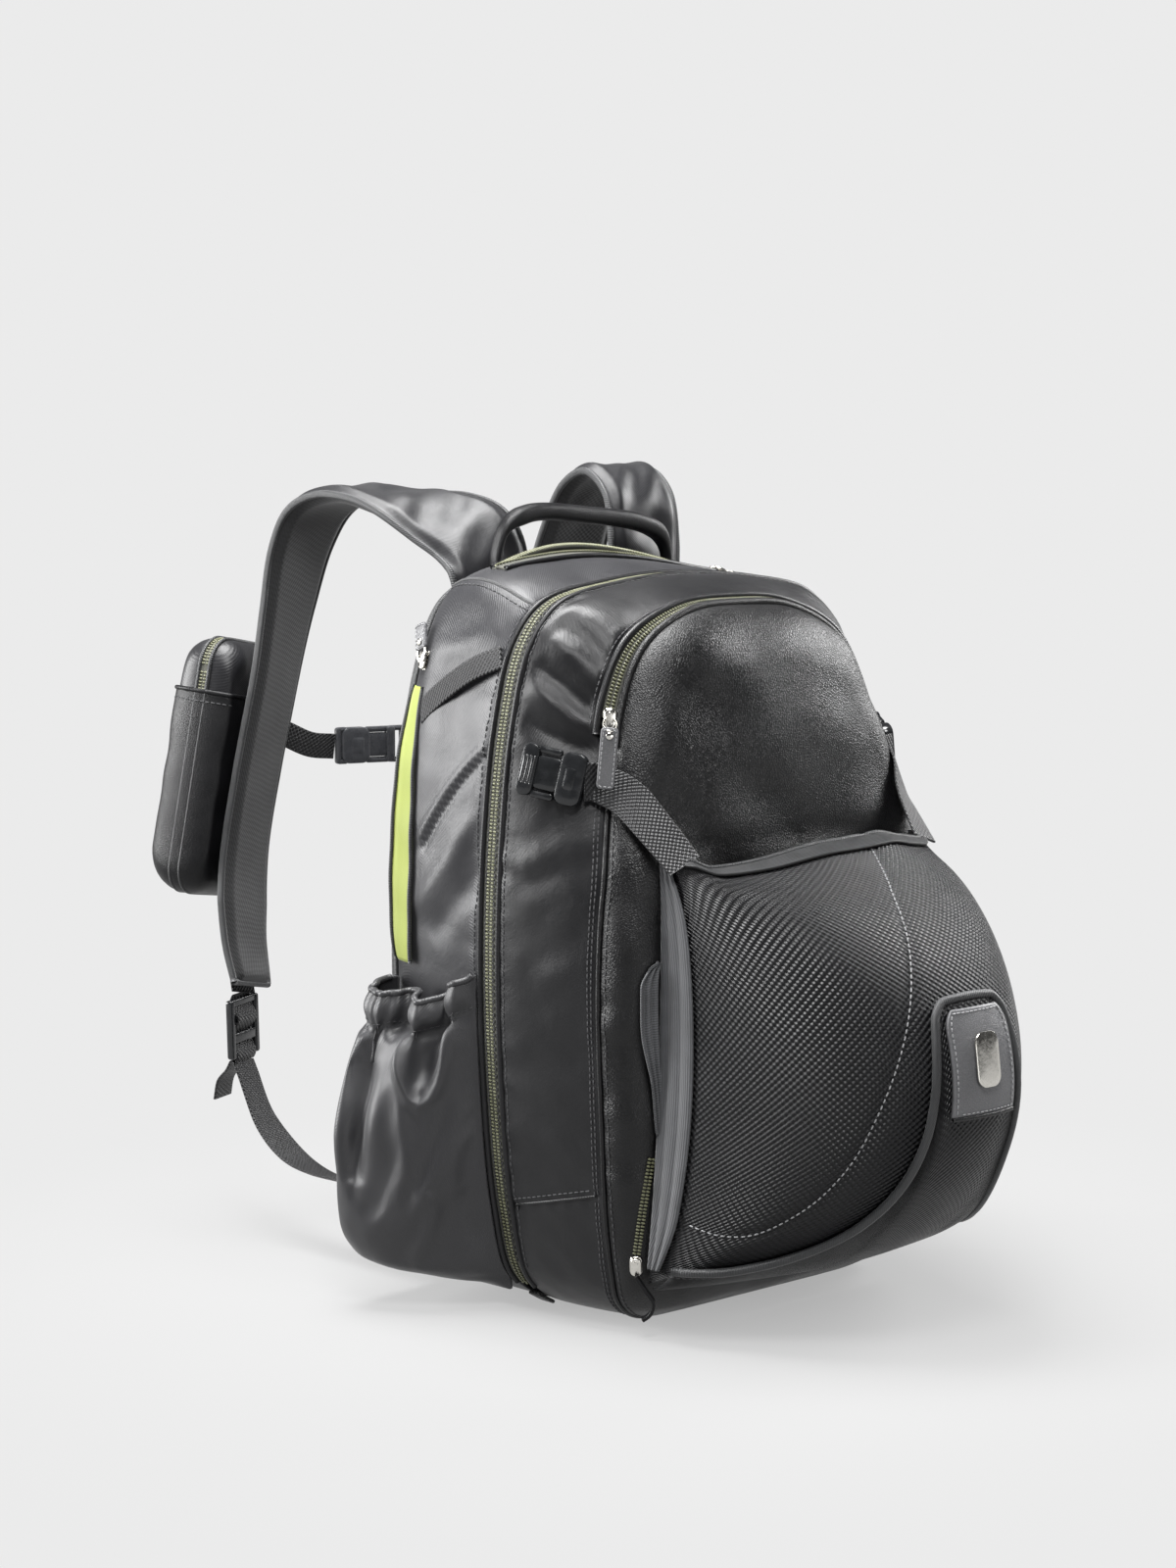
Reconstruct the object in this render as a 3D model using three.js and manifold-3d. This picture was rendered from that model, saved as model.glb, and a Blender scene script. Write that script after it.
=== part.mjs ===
// A riding backpack with a helmet pouch, in millimetres. +Z is up, the bag's front faces -Y,
// and the shoulder straps stand out behind its back panel, towards +Y.
// The origin is on the floor, under the middle of the flat base.
import * as THREE from "three";
import { mergeVertices } from "three/addons/utils/BufferGeometryUtils.js";
import Module from "manifold-3d";

const wasm = await Module();
wasm.setup();

// Driving dimensions
const CLOTH = 2.4; // nylon or leather wall with its backing
const GAP = 0.5; // clearance between sewn neighbours
const ZIP_BACK_Y = 3; // rear edge of the main zip's tape
const ZIP_FRONT_Y = -13; // front edge of the main zip's tape
const GUSSET_BACK_Y = 97; // where the rear gusset meets the back panel
const PAD_BACK_Y = 110; // outer face of the padded back panel
const BODY_TALL = 469; // height of the body at the main zip
const FRONT_CORNER = 24; // rounding of the leather front's edge
const SEAM_SHARE = 0.75; // how far forward the leather seam lies, from zip to front
const RING_SIDES = 44; // facets round the body
const WEB_WIDE = 25; // webbing of the pouch and the lower straps
const WEB_THICK = 1.8;
const STRAP_THICK = 12; // padded shoulder strap

// Half outline of the body at the main zip, from the middle of the base to the middle of the top
const ZIP_OUTLINE = [
  { x: 0, z: 0 },
  { x: 70, z: 0 },
  { x: 112, z: 4 },
  { x: 139, z: 24 },
  { x: 152, z: 70 },
  { x: 160, z: 150 },
  { x: 162, z: 230 },
  { x: 158, z: 310 },
  { x: 149, z: 378 },
  { x: 134, z: 428 },
  { x: 111, z: 453 },
  { x: 58, z: 465 },
  { x: 0, z: BODY_TALL },
];

// Half outline of the seam between the nylon front gusset and the leather front
const SEAM_OUTLINE = [
  { x: 0, z: 0 },
  { x: 62, z: 0 },
  { x: 98, z: 3 },
  { x: 122, z: 20 },
  { x: 134, z: 62 },
  { x: 140, z: 135 },
  { x: 142, z: 222 },
  { x: 136, z: 285 },
  { x: 121, z: 342 },
  { x: 108, z: 388 },
  { x: 87, z: 426 },
  { x: 46, z: 448 },
  { x: 0, z: 452 },
];

// Side profile of the leather front: how far forward it stands at each height
const FRONT_PROFILE = [
  { z: 0, y: -90 },
  { z: 12, y: -100 },
  { z: 40, y: -109 },
  { z: 150, y: -113 },
  { z: 280, y: -111 },
  { z: 335, y: -98 },
  { z: 390, y: -86 },
  { z: 435, y: -80 },
  { z: 458, y: -74 },
  { z: 480, y: -68 },
];

// Stations of the rear gusset: width and height shares of the outline
const REAR_STATIONS = [
  { y: ZIP_BACK_Y, wide: 1, tall: 1 },
  { y: 35, wide: 1.012, tall: 1.008 },
  { y: 70, wide: 1.006, tall: 1.006 },
  { y: 88, wide: 0.985, tall: 0.998 },
  { y: GUSSET_BACK_Y, wide: 0.955, tall: 0.986 },
];

// Rings of the padded back panel
const PAD_STATIONS = [
  { y: GUSSET_BACK_Y + GAP, share: 0.946 },
  { y: 102, share: 0.951 },
  { y: 107, share: 0.942 },
  { y: PAD_BACK_Y, share: 0.915 },
];

// The helmet pouch: a dome cut off at its mouth, hung on the leather front
const POUCH = { halfWide: 116, taper: 6, depth: 159, middleZ: 170, halfTall: 134, wall: 2.4 };
const POUCH_MOUTH = 78; // latitude of the mouth, degrees
const POUCH_COLUMNS = 18;

// Upper edge of the pouch's lower flap: latitude by longitude, rising to a tongue in the middle
const FLAP_EDGE = [
  { longitude: 0, latitude: 23 },
  { longitude: 8, latitude: 22.5 },
  { longitude: 12, latitude: 19 },
  { longitude: 14, latitude: 11 },
  { longitude: 15.3, latitude: 0 },
  { longitude: 16.6, latitude: -12 },
  { longitude: 18.5, latitude: -23 },
  { longitude: 21.5, latitude: -33 },
  { longitude: 26, latitude: -42 },
  { longitude: 33, latitude: -50 },
  { longitude: 44, latitude: -57 },
  { longitude: 58, latitude: -61 },
  { longitude: 76, latitude: -62 },
];

// Centre lines of the padded shoulder straps, from the root on the back panel to the free end
const LEFT_STRAP = [
  { x: -57, y: 117, z: 424 },
  { x: -57, y: 118, z: 455 },
  { x: -58, y: 121, z: 476 },
  { x: -61, y: 131, z: 491 },
  { x: -67, y: 153, z: 502 },
  { x: -75, y: 186, z: 512 },
  { x: -83, y: 236, z: 517 },
  { x: -87, y: 267, z: 505 },
  { x: -91, y: 283, z: 480 },
  { x: -97, y: 292, z: 438 },
  { x: -107, y: 297, z: 383 },
  { x: -120, y: 301, z: 322 },
  { x: -131, y: 303, z: 262 },
  { x: -139, y: 294, z: 211 },
  { x: -142, y: 282, z: 178 },
];
const RIGHT_STRAP = [
  { x: 78, y: 117, z: 424 },
  { x: 80, y: 118, z: 452 },
  { x: 84, y: 121, z: 485 },
  { x: 87, y: 131, z: 517 },
  { x: 88, y: 153, z: 532 },
  { x: 89, y: 179, z: 522 },
  { x: 92, y: 203, z: 490 },
  { x: 98, y: 226, z: 442 },
  { x: 108, y: 247, z: 380 },
  { x: 122, y: 259, z: 308 },
  { x: 134, y: 262, z: 240 },
  { x: 141, y: 256, z: 184 },
];

// Finishes
const NYLON = finish(0x26262a, 0.42);
const LEATHER = finish(0x232325, 0.5);
const MESH = finish(0x1c1c1e, 0.6);
const PADDING = finish(0x2b2b2e, 0.75);
const WEBBING = finish(0x2a2a2b, 0.8);
const BINDING = finish(0x3a3a3c, 0.7);
const ZIP_TAPE = finish(0x45463f, 0.65);
const LIME = finish(0xc3d85a, 0.7);
const PLASTIC = finish(0x222224, 0.35);
const METAL = finish(0xb9b7b2, 0.25, 1);

function finish(color, roughness, metalness = 0) {
  return new THREE.MeshStandardMaterial({ color, roughness, metalness });
}

// General shapes

const { lerp, clamp, degToRad } = THREE.MathUtils;
const point = (x, y, z) => new THREE.Vector3(x, y, z);
const X_AXIS = point(1, 0, 0);
const Z_AXIS = point(0, 0, 1);

// A smooth function of one column of a table through its rows, with no overshoot.
function columnCurve(rows, key, column) {
  const slope = (i) => {
    if (i <= 0 || i >= rows.length - 1) return 0;
    const before = (rows[i][column] - rows[i - 1][column]) / (rows[i][key] - rows[i - 1][key]);
    const after = (rows[i + 1][column] - rows[i][column]) / (rows[i + 1][key] - rows[i][key]);
    return before * after > 0 ? (2 * before * after) / (before + after) : 0;
  };
  return (at) => {
    const last = rows.length - 2;
    const found = rows.findIndex((row, i) => i <= last && at <= rows[i + 1][key]);
    const i = found < 0 ? last : found;
    const span = rows[i + 1][key] - rows[i][key];
    const t = clamp((at - rows[i][key]) / span, 0, 1);
    const h = t * t * (3 - 2 * t);
    return (
      lerp(rows[i][column], rows[i + 1][column], h) +
      slope(i) * span * t * (1 - t) ** 2 -
      slope(i + 1) * span * t * t * (1 - t)
    );
  };
}

// A closed outline in the XZ plane from its right half, walked from the middle of the base.
function outlineOf(rows) {
  const right = rows.map(({ x, z }) => point(x, 0, z));
  const left = rows
    .slice(1, -1)
    .reverse()
    .map(({ x, z }) => point(-x, 0, z));
  const curve = new THREE.CatmullRomCurve3([...right, ...left], true, "centripetal");
  curve.arcLengthDivisions = 900;
  return (s) => {
    const p = curve.getPointAt(((s % 1) + 1) % 1);
    return point(p.x, 0, Math.max(0, p.z));
  };
}

// A grid of points place(row, column), with shares from 0 to 1, and its triangles.
// A pole closes the first row on one point, and wrap joins the last column to the first.
function grid(place, rows, columns, { wrap = false, pole = false, flip = false } = {}) {
  const across = wrap ? columns : columns + 1;
  const points = [];
  const index = (r, c) => (pole ? (r === 0 ? 0 : 1 + (r - 1) * across) : r * across) +
    (pole && r === 0 ? 0 : c % across);
  for (let r = 0; r <= rows; r++)
    for (let c = 0; c < (pole && r === 0 ? 1 : across); c++) points.push(place(r / rows, c / columns));
  const faces = [];
  for (let r = 0; r < rows; r++)
    for (let c = 0; c < columns; c++) {
      const [a, b, d, e] = [index(r, c), index(r + 1, c), index(r + 1, c + 1), index(r, c + 1)];
      for (const face of [[a, b, d], [a, d, e]])
        if (new Set(face).size === 3) faces.push(flip ? face.reverse() : face);
    }
  return { points, faces };
}

// Closed geometry from points and triangles.
function solid(points, faces) {
  const geometry = new THREE.BufferGeometry().setFromPoints(points);
  geometry.setIndex(faces.flat());
  geometry.computeVertexNormals();
  return geometry;
}

// A wall of even thickness behind an open surface, with its rim closed.
function thicken({ points, faces }, wall) {
  const normals = points.map(() => point(0, 0, 0));
  for (const [a, b, c] of faces) {
    const normal = points[b].clone().sub(points[a]).cross(points[c].clone().sub(points[a]));
    for (const corner of [a, b, c]) normals[corner].add(normal);
  }
  const count = points.length;
  const inner = points.map((p, i) => p.clone().addScaledVector(normals[i].normalize(), -wall));
  const edges = new Map();
  const all = [];
  for (const [a, b, c] of faces) {
    all.push([a, b, c], [c + count, b + count, a + count]);
    for (const [from, to] of [[a, b], [b, c], [c, a]]) edges.set(`${from},${to}`, [from, to]);
  }
  for (const [from, to] of edges.values())
    if (!edges.has(`${to},${from}`))
      all.push([to, from, from + count], [to, from + count, to + count]);
  return solid([...points, ...inner], all);
}

// A flat band along a path, with chamfered edges. Width and thickness may change along it.
function band(path, { width, thick, side = X_AXIS, steps = 20, chamfer = 0.3 }) {
  const through = (rows) => new THREE.CatmullRomCurve3(rows.map((p) => point(p.x, p.y, p.z)));
  const curve = Array.isArray(path) ? through(path) : path;
  const points = [];
  const faces = [];
  const corners = chamfer > 0 ? 8 : 4;
  for (let i = 0; i <= steps; i++) {
    const t = i / steps;
    const at = curve.getPointAt(t);
    const along = curve.getTangentAt(t);
    const reference = typeof side === "function" ? side(t) : side;
    const across = reference.clone().addScaledVector(along, -reference.dot(along)).normalize();
    const normal = along.clone().cross(across);
    const w = (typeof width === "function" ? width(t) : width) / 2;
    const h = (typeof thick === "function" ? thick(t) : thick) / 2;
    const cut = Math.min(w, h) * 2 * chamfer;
    const cornered = [
      [w, h - cut], [w - cut, h], [cut - w, h], [-w, h - cut],
      [-w, cut - h], [cut - w, -h], [w - cut, -h], [w, cut - h],
    ];
    const section = chamfer > 0 ? cornered : [[w, h], [-w, h], [-w, -h], [w, -h]];
    for (const [a, b] of section)
      points.push(at.clone().addScaledVector(across, a).addScaledVector(normal, b));
    if (i > 0)
      for (let c = 0; c < corners; c++) {
        const [p, q] = [(i - 1) * corners, i * corners];
        const next = (c + 1) % corners;
        faces.push([p + c, p + next, q + next], [p + c, q + next, q + c]);
      }
  }
  const end = steps * corners;
  for (let c = 1; c < corners - 1; c++)
    faces.push([0, c + 1, c], [end, end + c, end + c + 1]);
  return solid(points, faces);
}

// A rectangle with round corners, centred on the origin.
function roundedRectangle(wide, tall, radius) {
  const [w, h] = [wide / 2, tall / 2];
  const shape = new THREE.Shape();
  shape.moveTo(radius - w, -h);
  shape.lineTo(w - radius, -h);
  shape.absarc(w - radius, radius - h, radius, -Math.PI / 2, 0);
  shape.lineTo(w, h - radius);
  shape.absarc(w - radius, h - radius, radius, 0, Math.PI / 2);
  shape.lineTo(radius - w, h);
  shape.absarc(radius - w, h - radius, radius, Math.PI / 2, Math.PI);
  shape.lineTo(-w, radius - h);
  shape.absarc(radius - w, radius - h, radius, Math.PI, 1.5 * Math.PI);
  return shape;
}

// A plate of that outline whose underside lies on z = 0, with cut-outs given as shapes.
function plate(shape, thick, holes = [], curveSegments = 2) {
  shape.holes.push(...holes.map((hole) => new THREE.Path(hole.getPoints(1))));
  return new THREE.ExtrudeGeometry(shape, { depth: thick, bevelEnabled: false, curveSegments });
}

// A rectangular cut-out centred on a point of a plate.
function slot(wide, tall, dx, dy) {
  const corners = [[-1, -1], [1, -1], [1, 1], [-1, 1]];
  const place = ([a, b]) => new THREE.Vector2(dx + (a * wide) / 2, dy + (b * tall) / 2);
  return new THREE.Shape(corners.map(place));
}

function solidOf(geometry) {
  const bare = geometry.clone();
  for (const name of ["normal", "uv"]) bare.deleteAttribute(name);
  const merged = mergeVertices(bare, 1e-4);
  return new wasm.Manifold(
    new wasm.Mesh({
      numProp: 3,
      vertProperties: merged.attributes.position.array,
      triVerts: new Uint32Array(merged.index.array),
    }),
  );
}

function geometryOf(manifold) {
  const { vertProperties, triVerts } = manifold.getMesh();
  const geometry = new THREE.BufferGeometry();
  geometry.setAttribute("position", new THREE.BufferAttribute(vertProperties, 3));
  geometry.setIndex(new THREE.BufferAttribute(triVerts, 1));
  geometry.computeVertexNormals();
  return geometry;
}

const backpack = new THREE.Group();

function add(name, geometry, material, parent = backpack) {
  const mesh = new THREE.Mesh(geometry, material);
  mesh.name = name;
  parent.add(mesh);
  return mesh;
}

// Puts a flat piece on a surface: its thickness points along facing and its length along upward.
function seat(mesh, at, facing, upward) {
  const out = facing.clone().normalize();
  const across = upward.clone().cross(out).normalize();
  const along = out.clone().cross(across);
  mesh.position.copy(at);
  mesh.quaternion.setFromRotationMatrix(new THREE.Matrix4().makeBasis(across, along, out));
}

// Body surfaces

const zipOutline = outlineOf(ZIP_OUTLINE);
const seamOutline = outlineOf(SEAM_OUTLINE);
const frontY = columnCurve(FRONT_PROFILE, "z", "y");
const seamY = (z) => lerp(ZIP_FRONT_Y, frontY(z), SEAM_SHARE);
const rearWide = columnCurve(REAR_STATIONS, "y", "wide");
const rearTall = columnCurve(REAR_STATIONS, "y", "tall");

// 1 along the base, where the main zip stops, and 0 elsewhere round the outline.
const BASE_REACH = 0.082;
function onBase(s) {
  const away = Math.min(s, 1 - s);
  return 1 - THREE.MathUtils.smoothstep(away, BASE_REACH - 0.012, BASE_REACH);
}

// The left shoulder of the top stands higher towards the back.
const SHOULDER_RISE = 11;
function rearTop({ x, z }, y) {
  const { smoothstep } = THREE.MathUtils;
  const share = smoothstep(y, ZIP_BACK_Y, 62) * smoothstep(-x, -70, 70) * smoothstep(z, 412, 452);
  return z * rearTall(y) + SHOULDER_RISE * share;
}

function rearPoint(s, y) {
  const edge = zipOutline(s);
  return point(edge.x * rearWide(y), y, rearTop(edge, y));
}

// Half width of the body's side at a height, at the main zip.
const sideRows = Array.from({ length: 80 }, (_, i) => zipOutline(0.1 + (0.3 * i) / 79));
const sideWidth = columnCurve(sideRows, "z", "x");

// How far the left side stands out at a depth and height of the rear gusset.
function leftSideX(y, z) {
  return -sideWidth(z / rearTall(y)) * rearWide(y);
}

// The front gusset from the zip (t = 0) to the leather seam (t = 1), bowed out between them.
function gussetPoint(s, t) {
  const [from, to] = [zipOutline(s), seamOutline(s)];
  const ease = t ** 1.7;
  const z = lerp(from.z, to.z, ease);
  return point(lerp(from.x, to.x, ease), lerp(ZIP_FRONT_Y, seamY(z), t), z);
}

// The leather seam carries a zip over the top of the front, and is plain below it.
const FRONT_ZIP_REACH = 0.118; // share of the outline each side of the top
const FRONT_ZIP_SHARE = 0.12; // part of the gusset's depth taken by the zip's tape
function gussetEdge(s) {
  const fromTop = Math.abs(s - 0.5);
  const zipped = 1 - THREE.MathUtils.smoothstep(fromTop, FRONT_ZIP_REACH, FRONT_ZIP_REACH + 0.02);
  return 1 - (FRONT_ZIP_SHARE + 0.026) * zipped - 0.02;
}

// Padding of the front pocket's panel, above the helmet pouch.
function frontPuff(x, z) {
  const round = (q) => Math.max(0, 1 - q * q);
  return 13 * round((z - 385) / 78) * round(x / 112);
}

// The leather front, from its middle (r = 0) over the face to the seam (r = 1).
const FACE_SHARE = 0.6;
const FACE_MIDDLE_Z = 225;
function frontPoint(s, r) {
  const seam = seamOutline(s);
  const shrink = 1 - FRONT_CORNER / 147;
  const face = point(seam.x * shrink, 0, lerp(FACE_MIDDLE_Z, seam.z, shrink));
  if (r <= FACE_SHARE) {
    const k = r / FACE_SHARE;
    const [x, z] = [face.x * k, lerp(FACE_MIDDLE_Z, face.z, k)];
    return point(x, frontY(z) - frontPuff(x, z), z);
  }
  const turn = ((1 - r) / (1 - FACE_SHARE)) * (Math.PI / 2);
  const inset = 1 - Math.cos(turn);
  const [x, z] = [lerp(seam.x, face.x, inset), lerp(seam.z, face.z, inset)];
  const puff = frontPuff(x, z) * Math.sin(turn);
  return point(x, lerp(seamY(z), frontY(z), Math.sin(turn)) - puff, z);
}

// The pouch's dome at a longitude and latitude in degrees, grown outwards by some millimetres.
function pouchPoint(longitude, latitude, grow = 0) {
  const [lon, lat] = [degToRad(longitude), degToRad(latitude)];
  const boxy = (v) => Math.sign(v) * Math.abs(v) ** 0.9;
  const z = POUCH.middleZ + (POUCH.halfTall + grow) * Math.sin(lat);
  const depth = (POUCH.depth + grow) * Math.cos(lat) * boxy(Math.cos(lon));
  const seatY = frontY(clamp(z, 0, 290)) - GAP;
  const half = POUCH.halfWide - POUCH.taper * Math.sin(lat) + grow;
  return point(half * boxy(Math.sin(lon)), seatY - depth, z);
}

// A wall over part of the dome, between two longitudes and two latitudes that may vary with longitude.
function pouchPatch(across, [low, high], grow, wall, rows, columns) {
  const limit = (edge, longitude) => (typeof edge === "function" ? edge(longitude) : edge);
  const place = (r, c) => {
    const longitude = typeof across === "function" ? across(c) : lerp(...across, c);
    return pouchPoint(longitude, lerp(limit(low, longitude), limit(high, longitude), r), grow);
  };
  return thicken(grid(place, rows, columns, { flip: true }), wall);
}

// Body pieces

function makeBackPanel() {
  const ring = (share, s) => {
    const edge = zipOutline(s);
    const z = rearTop(edge, GUSSET_BACK_Y);
    return point(edge.x * share, 0, lerp(BODY_TALL / 2, z, share / rearWide(GUSSET_BACK_Y)));
  };
  const points = [point(0, PAD_STATIONS[0].y, BODY_TALL / 2)];
  for (const { y, share } of PAD_STATIONS)
    for (let c = 0; c < RING_SIDES; c++) points.push(ring(share, c / RING_SIDES).setY(y));
  points.push(point(0, PAD_BACK_Y, BODY_TALL / 2));
  const faces = [];
  const last = points.length - 1;
  for (let c = 0; c < RING_SIDES; c++) {
    const next = (c + 1) % RING_SIDES;
    faces.push([0, 1 + c, 1 + next]);
    for (let r = 0; r < PAD_STATIONS.length - 1; r++) {
      const [p, q] = [1 + r * RING_SIDES, 1 + (r + 1) * RING_SIDES];
      faces.push([p + c, q + c, q + next], [p + c, q + next, p + next]);
    }
    const rim = 1 + (PAD_STATIONS.length - 1) * RING_SIDES;
    faces.push([last, rim + next, rim + c]);
  }
  add("back_panel", solid(points, faces), PADDING);
}

// The top opening of the main compartment: a lens-shaped mouth between two strips of zip tape.
const MOUTH = { fromX: -98, toX: 88, y: 62, halfWide: 8 };
const mouthMiddle = (MOUTH.fromX + MOUTH.toX) / 2;
const mouthHalf = (MOUTH.toX - MOUTH.fromX) / 2;
function mouthBow(x) {
  return MOUTH.halfWide * (1 - ((x - mouthMiddle) / mouthHalf) ** 2);
}
function topZ(x, y) {
  const rows = Array.from({ length: 40 }, (_, i) => rearPoint(0.36 + (0.28 * i) / 39, y));
  return columnCurve(rows.sort((a, b) => a.x - b.x), "x", "z")(x);
}

function makeRearGusset() {
  const rows = 4;
  const place = (r, c) => {
    const start = lerp(ZIP_BACK_Y, ZIP_FRONT_Y + GAP, onBase(c));
    return rearPoint(c, lerp(start, GUSSET_BACK_Y, r));
  };
  const wall = solidOf(thicken(grid(place, rows, RING_SIDES, { wrap: true }), CLOTH));
  const steps = 10;
  const lens = new THREE.Shape();
  for (let i = 0; i <= 2 * steps; i++) {
    const there = i <= steps;
    const x = lerp(MOUTH.fromX, MOUTH.toX, there ? i / steps : 2 - i / steps);
    const y = MOUTH.y + (there ? -1 : 1) * mouthBow(x);
    if (i === 0) lens.moveTo(x, y);
    else if (i < 2 * steps) lens.lineTo(x, y);
  }
  const cutter = new THREE.ExtrudeGeometry(lens, { depth: 60, bevelEnabled: false });
  cutter.translate(0, 0, BODY_TALL - 40);
  add("rear_gusset", geometryOf(wall.subtract(solidOf(cutter))), NYLON);
}

function makeMainZip() {
  const [from, to] = [BASE_REACH + 0.016, 1 - BASE_REACH - 0.016];
  const place = (r, c) => {
    const edge = zipOutline(lerp(from, to, c));
    return edge.setY(lerp(ZIP_FRONT_Y + GAP, ZIP_BACK_Y - GAP, r));
  };
  add("main_zip", thicken(grid(place, 1, 38), CLOTH), ZIP_TAPE);
  for (const [side, s] of [["right", from], ["left", to]]) {
    const corner = zipOutline(s + (side === "right" ? -0.012 : 0.012));
    const tab = add(`zip_end_${side}`, plate(roundedRectangle(15, 14, 3), 2.2), WEBBING);
    const out = point(Math.sign(corner.x) * 0.6, 0, -1).normalize();
    corner.setY((ZIP_FRONT_Y + ZIP_BACK_Y) / 2);
    seat(tab, corner.addScaledVector(out, 0.5), out, X_AXIS);
  }
}

function makeFrontGusset() {
  const place = (r, c) => gussetPoint(c, lerp(gussetEdge(c), 0.015, r));
  add("front_gusset", thicken(grid(place, 3, RING_SIDES, { wrap: true }), CLOTH), NYLON);
}

function makeFrontPanel() {
  const place = (r, c) => frontPoint(c, r);
  add("front_panel", thicken(grid(place, 8, RING_SIDES, { wrap: true, pole: true }), CLOTH), LEATHER);
  const reach = FRONT_ZIP_REACH - 0.004;
  const zip = (r, c) => {
    const s = lerp(0.5 - reach, 0.5 + reach, c);
    return gussetPoint(s, lerp(0.985, 1 - FRONT_ZIP_SHARE - 0.012, r));
  };
  add("front_zip", thicken(grid(zip, 1, 22), CLOTH), ZIP_TAPE);
}

// The front of the body as one surface: the leather up to q = 1, then the gusset back to the zip at q = 2.
function frontSurface(s, q) {
  return q <= 1 ? frontPoint(s, q) : gussetPoint(s, 2 - q);
}

// A point of that surface and the direction that faces out of it.
function frontFrame(s, q) {
  const step = 0.012;
  const along = frontSurface(s, q + step).sub(frontSurface(s, q - step));
  const around = frontSurface(s + step, q).sub(frontSurface(s - step, q));
  const at = frontSurface(s, q);
  const out = along.cross(around).normalize();
  if (out.dot(at.clone().sub(point(0, -40, FACE_MIDDLE_Z))) < 0) out.negate();
  return { at, out };
}

// The share of the seam's outline at a height, on one side of the bag.
const seamRows = Array.from({ length: 90 }, (_, i) => {
  const s = 0.1 + (0.36 * i) / 89;
  return { s, z: seamOutline(s).z };
});
const rightShare = columnCurve(seamRows, "z", "s");
const seamShare = (sign, z) => (sign > 0 ? rightShare(z) : 1 - rightShare(z));

// Zip sliders with their pulls

// A cast slider seated on a surface, and a leather pull that hangs from it.
function makeSlider(name, at, facing, along, { hang, long, lift = 1.2 }) {
  const out = facing.clone().normalize();
  const slider = add(`${name}_slider`, plate(roundedRectangle(8, 13, 2.5), 5), METAL);
  seat(slider, at.clone().addScaledVector(out, 0.6), out, along);
  const down = hang.clone().normalize();
  const pull = add(`${name}_pull`, plate(roundedRectangle(11, long, 2.5), 2.6), LEATHER);
  const start = at.clone().addScaledVector(out, lift).addScaledVector(down, 6.9);
  seat(pull, start.addScaledVector(down, long / 2), out, down.clone().negate());
}

function makeSliders() {
  const front = frontFrame(0.5 + FRONT_ZIP_REACH - 0.006, 1.06);
  const outward = front.out.clone().setZ(0).normalize();
  makeSlider("front_zip", front.at.addScaledVector(outward, 1.3), outward, Z_AXIS, {
    hang: point(-0.4, -0.34, -1),
    long: 38,
    lift: 6.4,
  });
  const right = MOUTH.toX + 9;
  makeSlider("top_zip", point(right, MOUTH.y, topZ(right, MOUTH.y) - 0.2), point(0.3, 0, 1), X_AXIS, {
    hang: point(0.9, -0.35, -0.3),
    long: 22,
    lift: 2.6,
  });
  const low = frontFrame(seamShare(-1, 40), 0.82);
  makeSlider("pouch_zip", low.at.addScaledVector(low.out, -0.8), low.out, Z_AXIS, {
    hang: low.out.clone().multiplyScalar(low.out.z).sub(Z_AXIS),
    long: 22,
    lift: 2,
  });
}

// Top of the bag

function makeTopZip() {
  const steps = 12;
  const lip = (sign, stand) => (r, c) => {
    const x = lerp(MOUTH.fromX, MOUTH.toX, c);
    const open = mouthBow(x) / MOUTH.halfWide;
    const y = MOUTH.y + sign * (mouthBow(x) + lerp(0, 9, r) * (stand ? 0.45 : 1));
    const rise = stand ? lerp(6 * open, 0, r) : 0;
    return point(x, y, topZ(x, y) + CLOTH - 1.8 + rise);
  };
  add("top_zip_rear", thicken(grid(lip(1, true), 2, steps), CLOTH - 0.4), ZIP_TAPE);
  add("top_zip_front", thicken(grid(lip(-1, false), 1, steps, { flip: true }), CLOTH - 0.4), ZIP_TAPE);
}

// The rolled handle: its grip is round, and its sewn ends are flat.
const HANDLE = [
  { x: -64, y: 104, z: 467.6 },
  { x: -63, y: 104, z: 480 },
  { x: -56, y: 103, z: 497 },
  { x: -36, y: 102, z: 506 },
  { x: 16, y: 101, z: 503.5 },
  { x: 60, y: 101, z: 498 },
  { x: 80, y: 102, z: 490 },
  { x: 88, y: 103, z: 476 },
  { x: 89, y: 104, z: 452.6 },
];
function makeHandle() {
  const grip = (t) => THREE.MathUtils.smoothstep(Math.min(t, 1 - t), 0.1, 0.22);
  const geometry = band(HANDLE, {
    width: (t) => lerp(10, 15, grip(t)),
    thick: (t) => lerp(5, 12, grip(t)),
    side: point(0, 1, 0),
    steps: 18,
  });
  add("handle", geometry, LEATHER);
}

// Shoulder straps

// The strap's width lies along the back at its root, and turns outwards as it falls.
// Where it leaves the back, it rolls so that its outer edge drops.
function makeShoulderStrap(side, rows, roll) {
  const sign = side === "left" ? -1 : 1;
  const { smoothstep } = THREE.MathUtils;
  const curve = new THREE.CatmullRomCurve3(rows.map((p) => point(p.x, p.y, p.z)));
  const across = (t) => {
    const turn = 0.4 * smoothstep(t, 0.3, 0.62);
    const drop = roll * smoothstep(t, 0.03, 0.12) * (1 - smoothstep(t, 0.11, 0.28));
    return point(Math.cos(turn), -sign * Math.sin(turn), -sign * drop);
  };
  const geometry = band(curve, {
    width: (t) => lerp(62, 54, t) * Math.min(1, 0.74 + 2.4 * Math.min(t + 0.03, 1.005 - t)),
    thick: (t) => STRAP_THICK * (t > 0.97 ? 0.7 : 1),
    side: across,
    steps: 26,
    chamfer: 0.28,
  });
  add(`shoulder_strap_${side}`, geometry, PADDING);
  return { sign, curve, across };
}

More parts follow.
